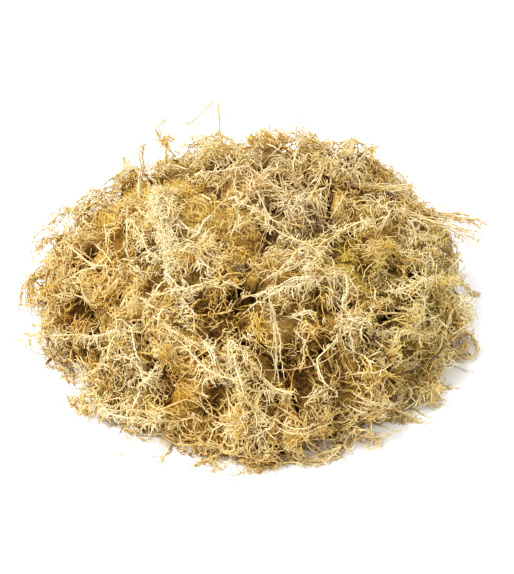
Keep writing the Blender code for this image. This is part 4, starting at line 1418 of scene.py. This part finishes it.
tintLook = {
    "driftNoise": (38, 3),        # scale and detail
    "mottleNoise": (520, 4),
    "goldNoise": (60, 2),
    "grainNoise": (1500, 2),
    "toneToPale": (-0.05, 0.68),  # what each adds to the paleness
    "driftToPale": (-0.16, 0.34),
    "alongToPale": (0.0, 0.24),
    "mottleToPale": (-0.1, 0.1),
    "palest": (0.1, 0.9),
    "hueToGold": (0.0, 0.75),
    "driftToGold": (-0.1, 0.35),
    "golden": (0.5, 0.85),
    "goldMost": 0.75,
    "fibres": (("X", 190), ("DIAGONAL", 150)),    # direction and spacing
    "fibreWander": 9.0,
    "fibreDetail": (3.0, 1.2),
    "mottleToLines": (-0.3, 0.2),
    "lines": (0.5, 1.0),
    "fibreShadeMost": 0.75,           # painted shade between the fibres of the felt, at its darkest
    "mottleInShade": (0.36, 0.6),    # the span of the mottle that varies the painted shade
    "mottleToShade": (0.72, 1.0),
    "sunkToHalfShade": (0.5, 0.7),
    "sunkToPaintedShade": (0.08, 0.98),
    "roughness": (0.72, 0.92),
    "feltHeight": 3.0,
}


tints = ("Pale", "Deep", "PaintedShade", "FleckAndHalfShade")


# The colour of dried moss: pale at the tips, deeper at the roots, in drifts of straw and brown, with painted
# shade where points lie deep under the heap's skin and between the fibres of the felt.
def makeMossTintAndShade(look):
    group = bpy.data.node_groups.new("mossTintAndShade", "ShaderNodeTree")
    for name in tints:
        group.interface.new_socket(name=name, in_out="INPUT", socket_type="NodeSocketColor")
    group.interface.new_socket(name="Color", in_out="OUTPUT", socket_type="NodeSocketColor")
    group.interface.new_socket(name="Roughness", in_out="OUTPUT", socket_type="NodeSocketFloat")
    group.interface.new_socket(name="Height", in_out="OUTPUT", socket_type="NodeSocketFloat")
    n, link = group.nodes, group.links.new
    take, give = n.new("NodeGroupInput"), n.new("NodeGroupOutput")
    place = n.new("ShaderNodeTexCoord")

    def attribute(name):
        made = n.new("ShaderNodeAttribute")
        made.attribute_type = "GEOMETRY"
        made.attribute_name = name
        return made.outputs["Fac"]

    def noiseOf(settings):
        made = n.new("ShaderNodeTexNoise")
        made.inputs["Scale"].default_value, made.inputs["Detail"].default_value = settings
        link(place.outputs["Object"], made.inputs["Vector"])
        return made.outputs["Fac"]

    def ramp(value, ends, out=(0.0, 1.0)):
        made = n.new("ShaderNodeMapRange")
        made.inputs["From Min"].default_value, made.inputs["From Max"].default_value = ends
        made.inputs["To Min"].default_value, made.inputs["To Max"].default_value = out
        link(value, made.inputs["Value"])
        return made.outputs["Result"]

    def mix(fac, a, b):
        made = n.new("ShaderNodeMix")
        made.data_type = "RGBA"
        link(fac, made.inputs["Factor"])
        link(a, made.inputs["A"])
        link(b, made.inputs["B"])
        return made.outputs["Result"]

    def maths(operation, a, b):
        made = n.new("ShaderNodeMath")
        made.operation = operation
        for i, value in enumerate((a, b)):
            if isinstance(value, float):
                made.inputs[i].default_value = value
            else:
                link(value, made.inputs[i])
        return made.outputs[0]

    # Wavy lines a millimetre or so apart, like fibres pressed into felt.
    def fibres(direction, spacing):
        made = n.new("ShaderNodeTexWave")
        made.bands_direction = direction
        made.inputs["Scale"].default_value = spacing
        made.inputs["Distortion"].default_value = look["fibreWander"]
        made.inputs["Detail"].default_value, made.inputs["Detail Scale"].default_value = look["fibreDetail"]
        link(place.outputs["Object"], made.inputs["Vector"])
        return made.outputs["Fac"]

    whole, middle = (0.0, 1.0), (0.3, 0.7)      # of an attribute, and of a noise
    tone, along, shade, hue, felt = (attribute(label) for label in ("tone", "along", "shade", "hue", "felt"))
    drift, mottle = noiseOf(look["driftNoise"]), noiseOf(look["mottleNoise"])
    pale = maths("ADD", ramp(tone, whole, look["toneToPale"]), ramp(drift, middle, look["driftToPale"]))
    pale = maths("ADD", pale, ramp(along, whole, look["alongToPale"]))
    pale = maths("ADD", pale, ramp(mottle, middle, look["mottleToPale"]))
    colour = mix(ramp(pale, look["palest"]), take.outputs["Deep"], take.outputs["Pale"])
    gold = ramp(noiseOf(look["goldNoise"]), middle, look["driftToGold"])
    gold = maths("ADD", ramp(hue, whole, look["hueToGold"]), gold)
    colour = mix(ramp(gold, look["golden"], (0.0, look["goldMost"])), colour, take.outputs["FleckAndHalfShade"])
    lines = maths("MAXIMUM", *(fibres(*settings) for settings in look["fibres"]))
    lines = ramp(maths("ADD", lines, ramp(mottle, middle, look["mottleToLines"])), look["lines"])
    # Painted shade: between the felt's fibres and under the heap's skin, the colour goes first to the warm
    # fleck colour and then to the dark painted shade colour.
    fibreShade = maths("MULTIPLY", felt, ramp(lines, whole, (look["fibreShadeMost"], 0.0)))
    sunk = maths("MULTIPLY", shade, ramp(mottle, look["mottleInShade"], look["mottleToShade"]))
    sunk = maths("MAXIMUM", sunk, fibreShade)
    halfShadeFrom, halfShadeTo = look["sunkToHalfShade"]
    colour = mix(ramp(sunk, (0.0, halfShadeFrom), (0.0, halfShadeTo)), colour, take.outputs["FleckAndHalfShade"])
    colour = mix(ramp(sunk, look["sunkToPaintedShade"]), colour, take.outputs["PaintedShade"])
    link(colour, give.inputs["Color"])
    link(ramp(mottle, middle, look["roughness"]), give.inputs["Roughness"])
    raised = maths("MULTIPLY", maths("MULTIPLY", felt, lines), look["feltHeight"])
    link(maths("ADD", noiseOf(look["grainNoise"]), raised), give.inputs["Height"])
    return group


mossTintAndShade = makeMossTintAndShade(tintLook)


def mossMaterial(slot, colours, look):
    made = bpy.data.materials.new(slot + "_look")
    made.use_nodes = True
    tree = made.node_tree
    shader = tree.nodes["Principled BSDF"]
    tint = tree.nodes.new("ShaderNodeGroup")
    tint.node_tree = mossTintAndShade
    for name, colour in zip(tints, colours):
        tint.inputs[name].default_value = (*colour, 1)
    bump = tree.nodes.new("ShaderNodeBump")
    bump.inputs["Strength"].default_value = look["bump"]
    bump.inputs["Distance"].default_value = look["bumpDepth"]
    tree.links.new(tint.outputs["Color"], shader.inputs["Base Color"])
    tree.links.new(tint.outputs["Roughness"], shader.inputs["Roughness"])
    tree.links.new(tint.outputs["Height"], bump.inputs["Height"])
    tree.links.new(bump.outputs["Normal"], shader.inputs["Normal"])
    shader.inputs["Specular IOR Level"].default_value = look["specular"]
    return made


looks = {slot: mossMaterial(slot, colours, mossFinish) for slot, colours in mossColours.items()}

total = 0
for name in sorted(nodes):
    piece = batches[name].finish("moss_" + name)
    piece.data.materials.append(looks[slotOf[name]])
    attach(piece, "root")
    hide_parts(name)
    total += len(piece.data.polygons)
print("pieces finished, faces in all:", total)


# Table and light.
tableLook = {"size": 12.0, "colour": (0.93, 0.93, 0.93), "roughness": 0.6}


def layTable(look):
    bpy.ops.object.select_all(action="DESELECT")
    bpy.ops.mesh.primitive_plane_add(size=look["size"], location=(0, 0, 0))
    made = bpy.context.object
    made.name = "table"
    bpy.ops.object.mode_set(mode="EDIT")
    bpy.ops.mesh.subdivide(number_cuts=2)
    bpy.ops.object.mode_set(mode="OBJECT")
    paint = bpy.data.materials.new("tableWhite")
    paint.use_nodes = True
    shader = paint.node_tree.nodes["Principled BSDF"]
    shader.inputs["Base Color"].default_value = (*look["colour"], 1)
    shader.inputs["Roughness"].default_value = look["roughness"]
    made.data.materials.append(paint)


lights = {
    "key": {"at": (-0.9, -0.2, 1.4), "size": 0.85, "power": 38.5},
    "fill": {"at": (1.2, -1.2, 0.9), "size": 1.2, "power": 8.0},
    "top": {"at": (0.1, 0.7, 1.5), "size": 1.0, "power": 7.0},
}
studioLook = {"aim": (0, 0, 0.02), "sky": (1.0, 1.0, 1.0), "skyStrength": 0.77}


def hangLight(name, look):
    bpy.ops.object.light_add(type="AREA", location=look["at"])
    made = bpy.context.object
    made.name = name
    made.data.shape = "DISK"
    made.data.size = look["size"]
    made.data.energy = look["power"]
    way = Vector(studioLook["aim"]) - Vector(look["at"])
    made.rotation_euler = way.to_track_quat("-Z", "Y").to_euler()


def fillSky(look):
    world = bpy.data.worlds.new("studio")
    world.use_nodes = True
    sky = world.node_tree.nodes["Background"]
    sky.inputs["Color"].default_value = (*look["sky"], 1)
    sky.inputs["Strength"].default_value = look["skyStrength"]
    bpy.context.scene.world = world


# A print with a little more contrast, as of a bright studio picture: a value, and what it becomes.
printLook = ((0.06, 0.043), (0.2, 0.186), (0.5, 0.525))


def setPrint(points):
    view = bpy.context.scene.view_settings
    view.view_transform = "Standard"
    view.use_curve_mapping = True
    curve = view.curve_mapping.curves[3]
    for at, value in points:
        curve.points.new(at, value)
    view.curve_mapping.update()


layTable(tableLook)
for name, look in lights.items():
    hangLight(name, look)
fillSky(studioLook)
setPrint(printLook)
print("table and lights set")
